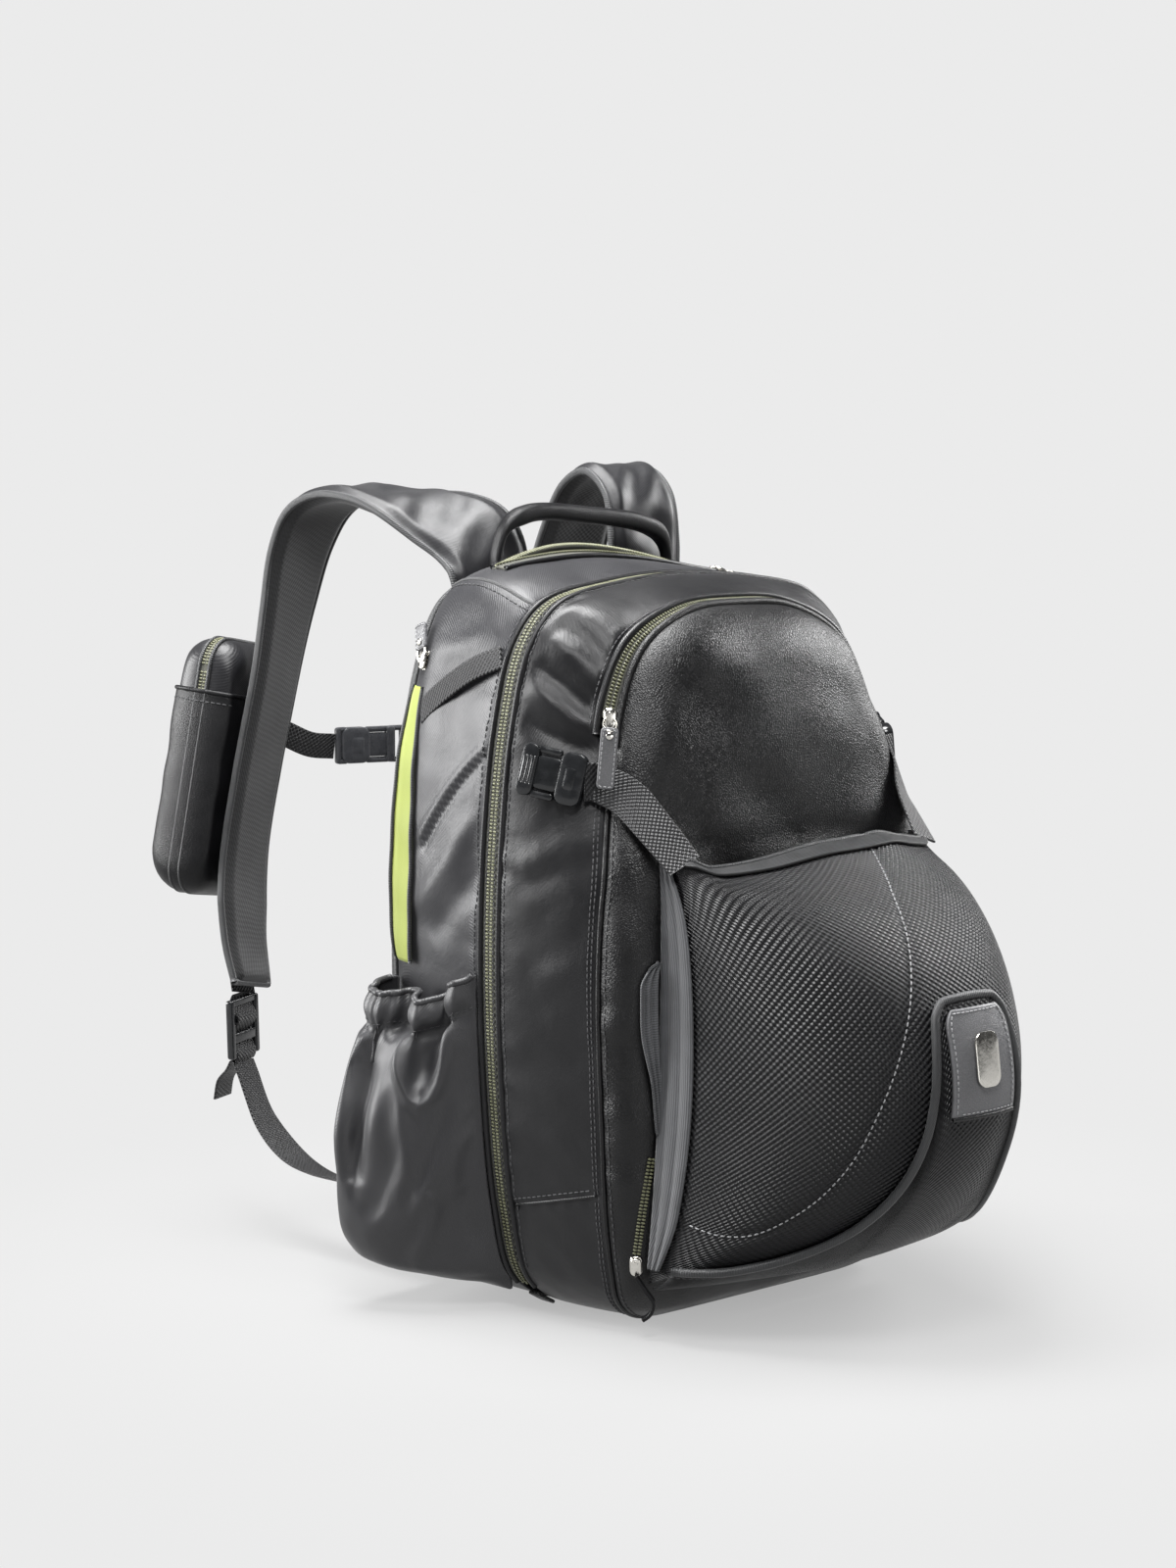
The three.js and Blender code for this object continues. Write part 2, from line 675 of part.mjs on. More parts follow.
// A strap's place and frame at a share of its length: outward is away from the bag.
function strapFrame({ curve, across }, t) {
  const at = curve.getPointAt(t);
  const along = curve.getTangentAt(t);
  const reference = across(t);
  const wide = reference.addScaledVector(along, -reference.dot(along)).normalize();
  const outward = wide.clone().cross(along).normalize();
  if (outward.y < 0) outward.negate();
  return { at, along, wide, outward };
}

// The share of a strap's length where its falling part passes a height.
function strapShare({ curve }, z) {
  let t = 1;
  while (t > 0.3 && curve.getPointAt(t).z < z) t -= 0.002;
  return t;
}

// Webbing sewn on the strap's outer face, its ladder-lock buckle, and the webbing back to the bag.
function makeStrapHardware(side, strap) {
  const { sign, across } = strap;
  const offset = STRAP_THICK / 2 + WEB_THICK / 2 + GAP;
  const flat = { thick: WEB_THICK, chamfer: 0 };
  const sewn = [0.72, 0.79, 0.86, 0.93, 0.995].map((t) => {
    const { at, outward } = strapFrame(strap, t);
    return at.addScaledVector(outward, offset);
  });
  const end = strapFrame(strap, 1);
  const top = end.at.clone().addScaledVector(end.outward, offset).addScaledVector(end.along, 5);
  const turn = across(1);
  const upper = band([...sewn, top], { ...flat, width: WEB_WIDE + 2, side: turn, steps: 10 });
  add(`strap_webbing_${side}`, upper, WEBBING);

  const long = 42;
  const bars = [13, 0, -13].map((dy) => slot(27, 6, 0, dy));
  const buckle = add(`strap_buckle_${side}`, plate(roundedRectangle(36, long, 6), 5, bars), PLASTIC);
  const down = point(0, 0.06, -1).normalize();
  const out = point(turn.y * -1, turn.x, 0);
  const centre = top.clone().addScaledVector(down, long / 2 + 3.4);
  seat(buckle, centre.clone().addScaledVector(out, -2.5), out, down.clone().negate());

  const low = centre.clone().addScaledVector(down, long / 2 + 2.8);
  const anchor = point(sign * 134, PAD_BACK_Y + GAP + WEB_THICK / 2, 60);
  const mid = (share, z) => point(lerp(low.x, anchor.x, share), lerp(low.y, anchor.y, share), z);
  const webbing = [
    low,
    mid(0.03, low.z - 9),
    mid(0.13, 84),
    mid(0.3, 62),
    mid(0.48, 54),
    mid(0.7, 55),
    mid(0.97, 60),
    anchor.clone().setZ(88),
  ];
  const swing = (t) => turn.clone().lerp(X_AXIS, THREE.MathUtils.smoothstep(t, 0.1, 0.7));
  const lower = band(webbing, { ...flat, width: WEB_WIDE, side: swing, steps: 18 });
  add(`lower_webbing_${side}`, lower, WEBBING);
  if (side === "left") {
    const tail = [point(0, 3.8, 1), point(0, 10, -7), point(-1, 20, -17), point(-2, 23, -30)];
    const route = tail.map((step) => low.clone().add(step));
    add("webbing_tail", band(route, { ...flat, width: WEB_WIDE - 3, side: turn, steps: 6 }), WEBBING);
  }
}

// Phone case on the left strap: two padded shells that meet at a zip.
const CASE = { wide: 76, tall: 178, shell: 17, zip: 9, wall: 2, sides: 20, lean: 0.02 };
function makePhoneCase(strap) {
  const { at, along, outward } = strapFrame(strap, strapShare(strap, 322));
  const group = new THREE.Group();
  backpack.add(group);
  const clear = STRAP_THICK / 2 + WEB_THICK + 2;
  seat(group, at.addScaledVector(outward, clear), outward, along.clone().negate());
  group.rotateX(CASE.lean);
  const ring = roundedRectangle(CASE.wide, CASE.tall, 20).getSpacedPoints(CASE.sides);
  const corner = (c) => ring[Math.round(c * CASE.sides) % CASE.sides];
  const shellPoint = (r, c) => {
    const turn = (Math.max(0, r - 0.5) / 0.5) * (Math.PI / 2);
    const share = r < 0.5 ? 1.64 * r : lerp(0.82, 1, Math.sin(turn));
    return point(corner(c).x * share, corner(c).y * share, CASE.shell * Math.cos(turn));
  };
  const shell = thicken(grid(shellPoint, 5, CASE.sides, { wrap: true, pole: true }), CASE.wall);
  const zipPoint = (r, c) => point(corner(c).x, corner(c).y, lerp(CASE.zip - GAP - 0.3, GAP + 0.3, r));
  const tape = thicken(grid(zipPoint, 1, CASE.sides, { wrap: true }), CASE.wall);
  const inner = add("phone_case_inner", shell, PADDING, group);
  inner.rotation.y = Math.PI;
  inner.position.z = CASE.shell;
  const zip = add("phone_case_zip", tape, ZIP_TAPE, group);
  zip.position.z = CASE.shell;
  const outer = add("phone_case_outer", shell.clone(), LEATHER, group);
  outer.position.z = CASE.shell + CASE.zip;
}

// Chest strap between the two shoulder straps, with its buckle left of the middle.
function makeSternumStrap(left, right) {
  const start = strapFrame(left, strapShare(left, 352));
  const finish = strapFrame(right, strapShare(right, 348));
  const from = start.at.addScaledVector(start.wide, 30.5);
  const to = finish.at.addScaledVector(finish.wide, -31);
  const span = to.clone().sub(from).normalize();
  const centre = from.clone().lerp(to, 0.36).add(point(0, 0, -10));
  const half = 27;
  const flat = { width: 18, thick: WEB_THICK, side: Z_AXIS, steps: 6, chamfer: 0 };
  const sag = (a, b) => [a, a.clone().lerp(b, 0.5).add(point(0, 0, -3)), b];
  const reach = half + GAP + 0.5;
  const leftEnd = centre.clone().addScaledVector(span, -reach);
  const rightEnd = centre.clone().addScaledVector(span, reach);
  add("sternum_strap_left", band(sag(from, leftEnd), flat), WEBBING);
  add("sternum_strap_right", band(sag(rightEnd, to), flat), WEBBING);
  const bars = [slot(17, 4, 0, 21), slot(17, 4, 0, -21)];
  const buckle = add("sternum_buckle", plate(roundedRectangle(26, 2 * half, 6), 6, bars), PLASTIC);
  const out = span.clone().cross(Z_AXIS).normalize();
  seat(buckle, centre.addScaledVector(out, -3), out, span);
}

// Left side of the bag

const SIDE_POCKET = { frontY: 6, backY: 94, mouth: 222, bulge: 66, wall: 1.8, folds: 3 };
// Height of the pocket's lower edge, which rises towards the back
const POCKET_FOOT = [
  { y: SIDE_POCKET.frontY, z: 12 },
  { y: 35, z: 12 },
  { y: 70, z: 15 },
  { y: 88, z: 22 },
  { y: SIDE_POCKET.backY, z: 29 },
];
// How far the pocket stands out, from its foot to its gathered mouth
const POCKET_UP = [
  { r: 0, out: 0 },
  { r: 0.08, out: 0.55 },
  { r: 0.26, out: 1 },
  { r: 0.55, out: 0.93 },
  { r: 0.8, out: 0.6 },
  { r: 1, out: 0.3 },
];
// and from its front edge at the zip to its rear edge at the back panel
const POCKET_ACROSS = [
  { c: 0, out: 0 },
  { c: 0.12, out: 0.3 },
  { c: 0.35, out: 0.64 },
  { c: 0.65, out: 0.93 },
  { c: 0.85, out: 1 },
  { c: 0.95, out: 0.6 },
  { c: 1, out: 0 },
];
const pocketUp = columnCurve(POCKET_UP, "r", "out");
const pocketAcross = columnCurve(POCKET_ACROSS, "c", "out");
const pocketFoot = columnCurve(POCKET_FOOT, "y", "z");
function pocketPoint(r, c) {
  const y = lerp(SIDE_POCKET.frontY, SIDE_POCKET.backY, c);
  const wave = Math.cos(c * Math.PI * 2 * SIDE_POCKET.folds);
  const mouth = SIDE_POCKET.mouth + 7 * wave * Math.sin(c * Math.PI);
  const z = lerp(pocketFoot(y), mouth, r);
  const gather = 8 * Math.max(0, r - 0.35) * wave;
  const out = pocketAcross(c) * (SIDE_POCKET.bulge * pocketUp(r) + gather);
  return point(leftSideX(y, z) - SIDE_POCKET.wall - GAP - out, y, z);
}

function makeLeftSide() {
  add("side_pocket", thicken(grid(pocketPoint, 10, 20), SIDE_POCKET.wall), NYLON);

  const onSide = (y, z, out) => point(leftSideX(y, z) - out, y, z);
  // the lime strip stands off the side towards its rear edge
  const lime = (r, c) => {
    const stand = 6 * c * c * Math.sin(Math.PI * clamp(r, 0.001, 0.999)) ** 0.5;
    return onSide(lerp(77, 96, c), lerp(236, 398, r), 1.5 + GAP + stand);
  };
  add("lime_lining", thicken(grid(lime, 6, 4), 1.5), LIME);

  // a loop of webbing across the side, from the zip's seam towards the back
  const SIDE_STRAP = [
    { t: 0, y: 7.5, z: 421 },
    { t: 0.35, y: 27, z: 413.5 },
    { t: 0.7, y: 46, z: 403 },
    { t: 1, y: 64, z: 391 },
  ];
  const strapY = columnCurve(SIDE_STRAP, "t", "y");
  const strapZ = columnCurve(SIDE_STRAP, "t", "z");
  const half = 7.5;
  const webbing = (r, c) => {
    const w = (2 * c - 1) * half;
    return onSide(strapY(r) + 0.47 * w, strapZ(r) + 0.88 * w, WEB_THICK - 0.9);
  };
  add("side_strap", thicken(grid(webbing, 7, 2), WEB_THICK), WEBBING);

  makeSlider("side_zip", onSide(82, 414, -1), point(-1, 0.1, 0.25), point(0, 0, -1), {
    hang: point(0.15, 0.35, 0.9),
    long: 18,
    lift: 2,
  });
}

// Helmet pouch

function makeHelmetPouch() {
  const flapEdge = columnCurve(FLAP_EDGE, "longitude", "latitude");
  const edge = (longitude) => flapEdge(Math.abs(longitude));
  const dome = pouchPatch([-89.9, 89.9], [-88.5, POUCH_MOUTH], 0, POUCH.wall, 11, POUCH_COLUMNS);
  add("helmet_pouch", dome, MESH);
  const hem = pouchPatch([-80, 80], [POUCH_MOUTH - 6, POUCH_MOUTH - 0.2], 2.4, 1.8, 1, 18);
  add("pouch_top_binding", hem, BINDING);
  for (const [side, sign] of [["left", -1], ["right", 1]]) {
    const [west, east] = [sign * 83.5, sign * 89.5].sort((a, b) => a - b);
    const trim = pouchPatch([west, east], [-66, POUCH_MOUTH - 3], 2.4, 1.8, 8, 1);
    add(`pouch_binding_${side}`, trim, BINDING);
  }
  const half = FLAP_EDGE.length - 1;
  const spread = (c) => {
    const i = Math.round((2 * c - 1) * half);
    return Math.sign(i) * FLAP_EDGE[Math.abs(i)].longitude;
  };
  add("pouch_flap", pouchPatch(spread, [-82, edge], 4.4, 1.6, 6, 2 * half), MESH);
  add("flap_tab", pouchPatch([-10.5, 10.5], [-7, 20], 7.4, 2, 4, 4), LEATHER);
  const badge = add("tab_plate", plate(roundedRectangle(20, 34, 7), 1.6, [], 4), METAL);
  seat(badge, pouchPoint(0, 6.9, 7.4).add(point(0, -GAP, 0)), point(0, -1, 0.14), Z_AXIS);
  makePouchStrap("left", -1);
  makePouchStrap("right", 1);
}

// The share of the outline where the gusset passes a height, at a depth between zip and seam.
function gussetShare(sign, z, t) {
  let [low, high] = [0.1, 0.46];
  for (let i = 0; i < 30; i++) {
    const middle = (low + high) / 2;
    if (gussetPoint(middle, t).z < z) low = middle;
    else high = middle;
  }
  return sign > 0 ? low : 1 - low;
}

// Half outline of a side-release buckle: the fork, its release windows and the socket
const BUCKLE_OUTLINE = [
  { x: 13, y: 22 },
  { x: 17, y: 17 },
  { x: 17, y: 11 },
  { x: 12, y: 9 },
  { x: 12, y: -2 },
  { x: 17, y: -5 },
  { x: 16, y: -22 },
];

// The strap from the pouch's corner round the leather front to its side-release buckle.
function makePouchStrap(side, sign) {
  const frames = [
    frontFrame(seamShare(sign, 326), 0.58),
    frontFrame(seamShare(sign, 334), 0.72),
    frontFrame(seamShare(sign, 341), 0.86),
    frontFrame(gussetShare(sign, 347, 0.9), 1.1),
  ];
  const path = frames.map(({ at, out }) => at.addScaledVector(out, 2.6));
  const across = frames.map(({ out }, i) => {
    const along = path[Math.min(i + 1, path.length - 1)].clone().sub(path[Math.max(i - 1, 0)]);
    return out.clone().cross(along).normalize();
  });
  const turning = (t) => {
    const i = Math.min(Math.floor(t * (across.length - 1)), across.length - 2);
    return across[i].clone().lerp(across[i + 1], t * (across.length - 1) - i);
  };
  const flat = { width: WEB_WIDE, thick: WEB_THICK, chamfer: 0 };
  add(`pouch_strap_${side}`, band(path, { ...flat, side: turning, steps: 9 }), WEBBING);

  const mirrored = [...BUCKLE_OUTLINE].reverse().map(({ x, y }) => ({ x: -x, y }));
  const outline = [...BUCKLE_OUTLINE, ...mirrored].map(({ x, y }) => new THREE.Vector2(x, y));
  const shape = new THREE.Shape(outline);
  const buckle = add(`pouch_buckle_${side}`, plate(shape, 7, [slot(25, 4, 0, -17)]), PLASTIC);
  const { at, out } = frontFrame(gussetShare(sign, 351, 0.55), 1.45);
  const back = point(-sign * 0.1, 1, 0.08);
  const facing = out.setZ(out.z * 0.6).normalize();
  seat(buckle, at.addScaledVector(facing, 2.4), facing, back);
}

makeBackPanel();
makeRearGusset();
makeMainZip();
makeFrontGusset();
makeFrontPanel();
makeSliders();
makeTopZip();
makeHandle();
const leftStrap = makeShoulderStrap("left", LEFT_STRAP, 0.68);
const rightStrap = makeShoulderStrap("right", RIGHT_STRAP, 0);
makeStrapHardware("left", leftStrap);
makeStrapHardware("right", rightStrap);
makePhoneCase(leftStrap);
makeSternumStrap(leftStrap, rightStrap);
makeLeftSide();
makeHelmetPouch();

export default backpack;
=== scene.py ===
"""Looks of a riding backpack with a mesh pouch on its front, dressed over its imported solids.

Fields and tables hold millimetres, and meshes are made in metres in the frame of the solids:
+Z is up, the bag's front faces -Y, and its shoulder straps stand out towards +Y.
"""
import logging
import math
from dataclasses import dataclass, field
from enum import Enum
from functools import cached_property
from typing import Any, Callable, Sequence

import bpy
import numpy as np
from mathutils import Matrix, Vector


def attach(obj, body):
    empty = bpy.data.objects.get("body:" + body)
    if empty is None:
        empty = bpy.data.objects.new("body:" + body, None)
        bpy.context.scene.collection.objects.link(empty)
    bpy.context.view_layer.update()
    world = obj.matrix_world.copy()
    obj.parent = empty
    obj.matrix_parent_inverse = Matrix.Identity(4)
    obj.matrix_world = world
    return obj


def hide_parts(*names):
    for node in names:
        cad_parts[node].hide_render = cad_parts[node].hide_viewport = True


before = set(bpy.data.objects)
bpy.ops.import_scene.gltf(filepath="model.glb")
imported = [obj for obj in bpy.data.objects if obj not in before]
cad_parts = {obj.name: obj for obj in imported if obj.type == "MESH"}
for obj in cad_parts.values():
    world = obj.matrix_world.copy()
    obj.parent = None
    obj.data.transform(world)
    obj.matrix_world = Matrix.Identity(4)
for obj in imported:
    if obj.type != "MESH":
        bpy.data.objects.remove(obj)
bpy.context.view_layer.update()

LOG = logging.getLogger("backpack")
MM = 0.001
CLOTH_MAP = "cloth"  # UV map whose units are metres of cloth
Array = np.ndarray
Route = Sequence[Sequence[float]]
Place = Callable[[Array, Array], Array]

# Pitch, length and radius of a stitch
SEAM_STITCH = (4.2, 3.1, 0.55)
ZIP_STITCH = (4.4, 3.2, 0.5)
LEATHER_STITCH = (4.6, 3.2, 0.5)
EDGE_STITCH = (4.0, 2.8, 0.5)
MESH_STITCH = (4.4, 2.7, 0.55)
TAB_STITCH = (3.6, 2.5, 0.45)
STRAP_STITCH = (4.4, 3.2, 0.45)
PULL_STITCH = (3.0, 2.1, 0.4)


class Side(Enum):
    """A side of the bag, as its wearer says it."""

    LEFT = -1
    RIGHT = 1

    @property
    def word(self) -> str:
        """The side's name as the nodes spell it."""
        return self.name.lower()


# Curves and surfaces


def unit(vectors: Array) -> Array:
    """Vectors of length one in the same directions."""
    return vectors / np.maximum(np.linalg.norm(vectors, axis=-1, keepdims=True), 1e-9)


def lerp(start: Any, end: Any, share: Any) -> Any:
    """The value at a share of the way from start to end."""
    return start + (end - start) * share


def smooth(value: Any, low: float, high: float) -> Any:
    """A soft step from 0 at low to 1 at high."""
    t = np.clip((value - low) / (high - low), 0, 1)
    return t * t * (3 - 2 * t)


def walked(path: Array) -> Array:
    """The distance walked along a path at each of its points."""
    return np.concatenate([[0.0], np.cumsum(np.linalg.norm(np.diff(path, axis=0), axis=1))])


def square_to(along: Array, directions: Array) -> Array:
    """Directions turned square to a path."""
    return unit(directions - (directions * along).sum(-1, keepdims=True) * along)


def rumple(coords: Array, length: float, seed: int, waves: int = 9) -> Array:
    """Soft seeded waves over a surface.

    Args:
        coords: Points, in millimetres, of any number of coordinates.
        length: The usual wave length.
        seed: Start of the random draws.
        waves: How many waves are added up.

    Returns:
        Heights, mostly from -1 to 1.
    """
    rng = np.random.default_rng(seed)
    total = np.zeros(coords.shape[:-1])
    for _ in range(waves):
        turn = unit(rng.normal(size=coords.shape[-1]))
        reach = length * rng.uniform(0.6, 1.7)
        total += np.sin(coords @ turn * (2 * math.pi / reach) + rng.uniform(0, 2 * math.pi))
    return total / math.sqrt(waves)


class TableCurve:
    """A smooth curve through the rows of a short table, with no overshoot."""

    def __init__(self, rows: Route) -> None:
        """Keeps the rows and works out the slope at each.

        Args:
            rows: Pairs of key and value, by rising key.
        """
        self.keys, self.values = np.array(rows, float).T
        steps = np.diff(self.values) / np.diff(self.keys)
        before, after = steps[:-1], steps[1:]
        rising = before * after > 0
        inner = np.zeros_like(before)
        inner[rising] = (2 * before * after)[rising] / (before + after)[rising]
        self.slopes = np.concatenate([[0.0], inner, [0.0]])

    def __call__(self, at: Any) -> Array:
        """The curve's value at each key."""
        i = np.clip(np.searchsorted(self.keys, at) - 1, 0, len(self.keys) - 2)
        span = self.keys[i + 1] - self.keys[i]
        t = np.clip((at - self.keys[i]) / span, 0, 1)
        level = lerp(self.values[i], self.values[i + 1], t * t * (3 - 2 * t))
        lean = self.slopes[i] * t * (1 - t) ** 2 - self.slopes[i + 1] * t * t * (1 - t)
        return level + lean * span


class Spline:
    """A centripetal curve through points, walked by its length."""

    SAMPLES = 48

    def __init__(self, points: Route, closed: bool = False) -> None:
        """Samples the curve and its length.

        Args:
            points: The points it passes, in two or three coordinates.
            closed: Whether its end joins its start.
        """
        p = np.array(points, float)
        ends = (p[-1:], p[:2]) if closed else (2 * p[:1] - p[1:2], 2 * p[-1:] - p[-2:-1])
        p = np.concatenate([ends[0], p, ends[1]])
        a, b, c, d = p[:-3], p[1:-2], p[2:-1], p[3:]
        spans = ((a, b), (b, c), (c, d))
        ab, bc, cd = (np.linalg.norm(v - u, axis=1, keepdims=True) ** 0.5 for u, v in spans)
        leave = ((b - a) / ab - (c - a) / (ab + bc) + (c - b) / bc) * bc
        arrive = ((c - b) / bc - (d - b) / (bc + cd) + (d - c) / cd) * bc
        t = np.linspace(0, 1, self.SAMPLES, endpoint=False)[None, :, None]
        a0, a1 = b[:, None], leave[:, None]
        a2 = (3 * (c - b) - 2 * leave - arrive)[:, None]
        a3 = (2 * (b - c) + leave + arrive)[:, None]
        points = (a0 + t * (a1 + t * (a2 + t * a3))).reshape(-1, p.shape[1])
        self.points = np.concatenate([points, c[-1:]])
        self.closed = closed
        self.walk = walked(self.points)

    @property
    def length(self) -> float:
        """The curve's whole length."""
        return float(self.walk[-1])

    def at(self, share: Any) -> Array:
        """Points at shares of the length, which wrap round on a closed curve."""
        share = np.mod(share, 1.0) if self.closed else np.clip(share, 0, 1)
        columns = [np.interp(share * self.length, self.walk, x) for x in self.points.T]
        return np.stack(columns, -1)

    def along(self, share: Any) -> Array:
        """Directions of travel at shares of the length."""
        share, step = np.asarray(share, float), 0.004
        low, high = (share - step, share + step) if self.closed else (
            np.clip(share - step, 0, 1), np.clip(share + step, 0, 1))
        return unit(self.at(high) - self.at(low))


def near(coords: Array, route: Array) -> tuple[Array, Array]:
    """How close points lie to a route.

    Args:
        coords: Points in two or three coordinates.
        route: Points of the route, in the same coordinates.

    Returns:
        The distance of each point, and the share along the route of its nearest place.
    """
    flat = coords.reshape(-1, coords.shape[-1])
    walk = walked(route)
    steps = np.linalg.norm(np.diff(route, axis=0), axis=1)
    best, share = np.full(len(flat), np.inf), np.zeros(len(flat))
    for start, end, step, done in zip(route[:-1], route[1:], steps, walk):
        t = np.clip((flat - start) @ (end - start) / max(step**2, 1e-9), 0, 1)
        away = np.linalg.norm(flat - start - t[:, None] * (end - start), axis=1)
        share = np.where(away < best, (done + t * step) / walk[-1], share)
        best = np.minimum(best, away)
    return best.reshape(coords.shape[:-1]), share.reshape(coords.shape[:-1])


@dataclass(frozen=True)
class Crease:
    """A fold in cloth, or a groove where its height is below zero."""

    route: Route
    height: float
    width: float
    fades: bool = True

    def relief(self, coords: Array) -> Array:
        """How far the cloth stands out at each point, in the route's coordinates."""
        away, share = near(coords, Spline(self.route).at(np.linspace(0, 1, 20)))
        end = np.clip(np.minimum(share, 1 - share) * 4, 0, 1) ** 0.5 if self.fades else 1.0
        return self.height * np.exp(-((away / self.width) ** 2)) * end


class Surface:
    """A surface given by two shares, with folds and grooves pushed out of it."""

    def __init__(self, place: Place, inside: Sequence[float], relief: Callable | None = None,
                 step: float = 1e-3) -> None:
        """Keeps the plain surface and its relief.

        Args:
            place: Gives the plain surface's points.
            inside: A point behind the surface.
            relief: Gives heights from points and their two shares.
            step: The shares' step for measuring slopes.
        """
        self.place, self.inside = place, np.array(inside, float)
        self.relief, self.step = relief, step

    def facing(self, a: Array, b: Array) -> Array:
        """Directions that face out of the plain surface."""
        h = self.step
        across = self.place(a + h, b) - self.place(a - h, b)
        up = self.place(a, b + h) - self.place(a, b - h)
        out = unit(np.cross(across, up))
        behind = ((self.place(a, b) - self.inside) * out).sum(-1, keepdims=True) < 0
        return np.where(behind, -out, out)

    def at(self, a: Any, b: Any, off: float = 0.0) -> Array:
        """Points of the surface with its relief, moved out by off."""
        return self.trace(a, b, off)[0]

    def trace(self, a: Any, b: Any, off: float = 0.0) -> tuple[Array, Array]:
        """Points of the surface with its relief, and the directions that face out of it."""
        a, b = np.broadcast_arrays(np.asarray(a, float), np.asarray(b, float))
        points, out = self.place(a, b), self.facing(a, b)
        height = off + (self.relief(points, a, b) if self.relief else 0.0)
        return points + out * np.broadcast_to(height, a.shape)[..., None], out


# Meshes


@dataclass
class Shape:
    """A mesh in millimetres, with the cloth's own coordinates in metres at each face corner."""

    vertices: Array
    quads: Array
    cloth: Array
    caps: list[list[int]] = field(default_factory=list)

    def turned(self) -> "Shape":
        """The same mesh with its faces the other way round."""
        return Shape(self.vertices, self.quads[:, ::-1], self.cloth[:, ::-1], [c[::-1] for c in self.caps])

    def moved(self, origin: Any, x: Any, y: Any, z: Any) -> "Shape":
        """The mesh with its axes laid along x, y and z at an origin."""
        axes = np.array([x, y, z], float)
        return Shape(self.vertices @ axes + np.asarray(origin, float), self.quads, self.cloth, self.caps)

    def facing_from(self, inside: Any = None) -> "Shape":
        """The mesh with its faces turned away from a point, its middle unless given."""
        v = self.vertices - (self.vertices.mean(0) if inside is None else np.asarray(inside, float))
        a, b, c, d = (v[self.quads[:, i]] for i in range(4))
        volume = (a * np.cross(b, c)).sum() + (a * np.cross(c, d)).sum()
        return self if volume >= 0 else self.turned()


def joined(shapes: Sequence[Shape]) -> Shape:
    """Several meshes as one."""
    starts = np.cumsum([0] + [len(s.vertices) for s in shapes])
    return Shape(
        np.concatenate([s.vertices for s in shapes]),
        np.concatenate([s.quads + n for s, n in zip(shapes, starts)]),
        np.concatenate([s.cloth for s in shapes]),
        [[i + int(n) for i in cap] for s, n in zip(shapes, starts) for cap in s.caps],
    )


def woven(points: Array, wrap: bool = False, loop: bool = False, middle: bool = False) -> Shape:
    """A grid of points as cloth.

    Args:
        points: Rows and columns of points.
        wrap: Whether the last column joins the first.
        loop: Whether the last row joins the first.
        middle: Whether the cloth's coordinates start in the grid's middle.

    Returns:
        The mesh, with the cloth's coordinates measured along its rows and columns.
    """
    rows, columns = points.shape[:2]
    index = np.arange(rows * columns).reshape(rows, columns)
    grid = points
    if wrap:
        index, grid = (np.concatenate([g, g[:, :1]], 1) for g in (index, grid))
    if loop:
        index, grid = (np.concatenate([g, g[:1]], 0) for g in (index, grid))
    u = np.pad(np.cumsum(np.linalg.norm(np.diff(grid, axis=1), axis=-1), 1), ((0, 0), (1, 0)))
    v = np.pad(np.cumsum(np.linalg.norm(np.diff(grid, axis=0), axis=-1), 0), ((1, 0), (0, 0)))
    if middle:
        u = u - u[:, u.shape[1] // 2, None]
        v = v - v[None, v.shape[0] // 2]
    cloth = np.stack([u, v], -1) * MM

    def corners(g: Array) -> Array:
        """The four corners of each face."""
        return np.stack([g[:-1, :-1], g[:-1, 1:], g[1:, 1:], g[1:, :-1]], 2)

    quads = corners(index).reshape(-1, 4)
    return Shape(points.reshape(-1, 3), quads, corners(cloth).reshape(-1, 4, 2))


def swept(path: Array, section: Array, across: Array, loop: bool = False) -> Shape:
    """A closed section carried along a path.

    Args:
        path: Points of the path.
        section: Points of the section (across, out), one set or one for each point of the path.
        across: The direction of the section's width, one or one for each point.
        loop: Whether the path joins its own start.

    Returns:
        The mesh, closed at its ends.
    """
    if loop:
        around = np.concatenate([path[-1:], path, path[:1]])
        along = unit(around[2:] - around[:-2])
    else:
        along = unit(np.gradient(path, axis=0))
    wide = square_to(along, np.broadcast_to(across, path.shape))
    out = np.cross(along, wide)
    section = np.broadcast_to(section, (len(path),) + section.shape[-2:])
    points = path[:, None] + section[..., :1] * wide[:, None] + section[..., 1:] * out[:, None]
    shape = woven(points, wrap=True, loop=loop)
    if not loop:
        count, last = points.shape[1], (len(path) - 1) * points.shape[1]
        shape.caps = [list(range(count)), list(range(last, last + count))[::-1]]
    return shape.facing_from()


def pillow(half_wide: float, half_thick: float, sides: int = 24, square: float = 0.35,
           full: float = 0.8) -> Array:
    """A rounded section: low values of square and full make its sides flatter."""
    turn = np.linspace(0, 2 * math.pi, sides, endpoint=False)
    c, s = np.cos(turn), np.sin(turn)
    return np.stack([half_wide * np.sign(c) * abs(c) ** square, half_thick * np.sign(s) * abs(s) ** full], -1)


def tube(path: Array, radius: float, sides: int = 8, loop: bool = False) -> Shape:
    """A round cord along a path."""
    along = unit(np.gradient(path, axis=0))
    across = np.eye(3)[int(np.argmin(np.abs(along).max(0) + 0.01 * np.abs(along.mean(0))))]
    return swept(path, pillow(radius, radius, sides, 1.0, 1.0), across, loop)


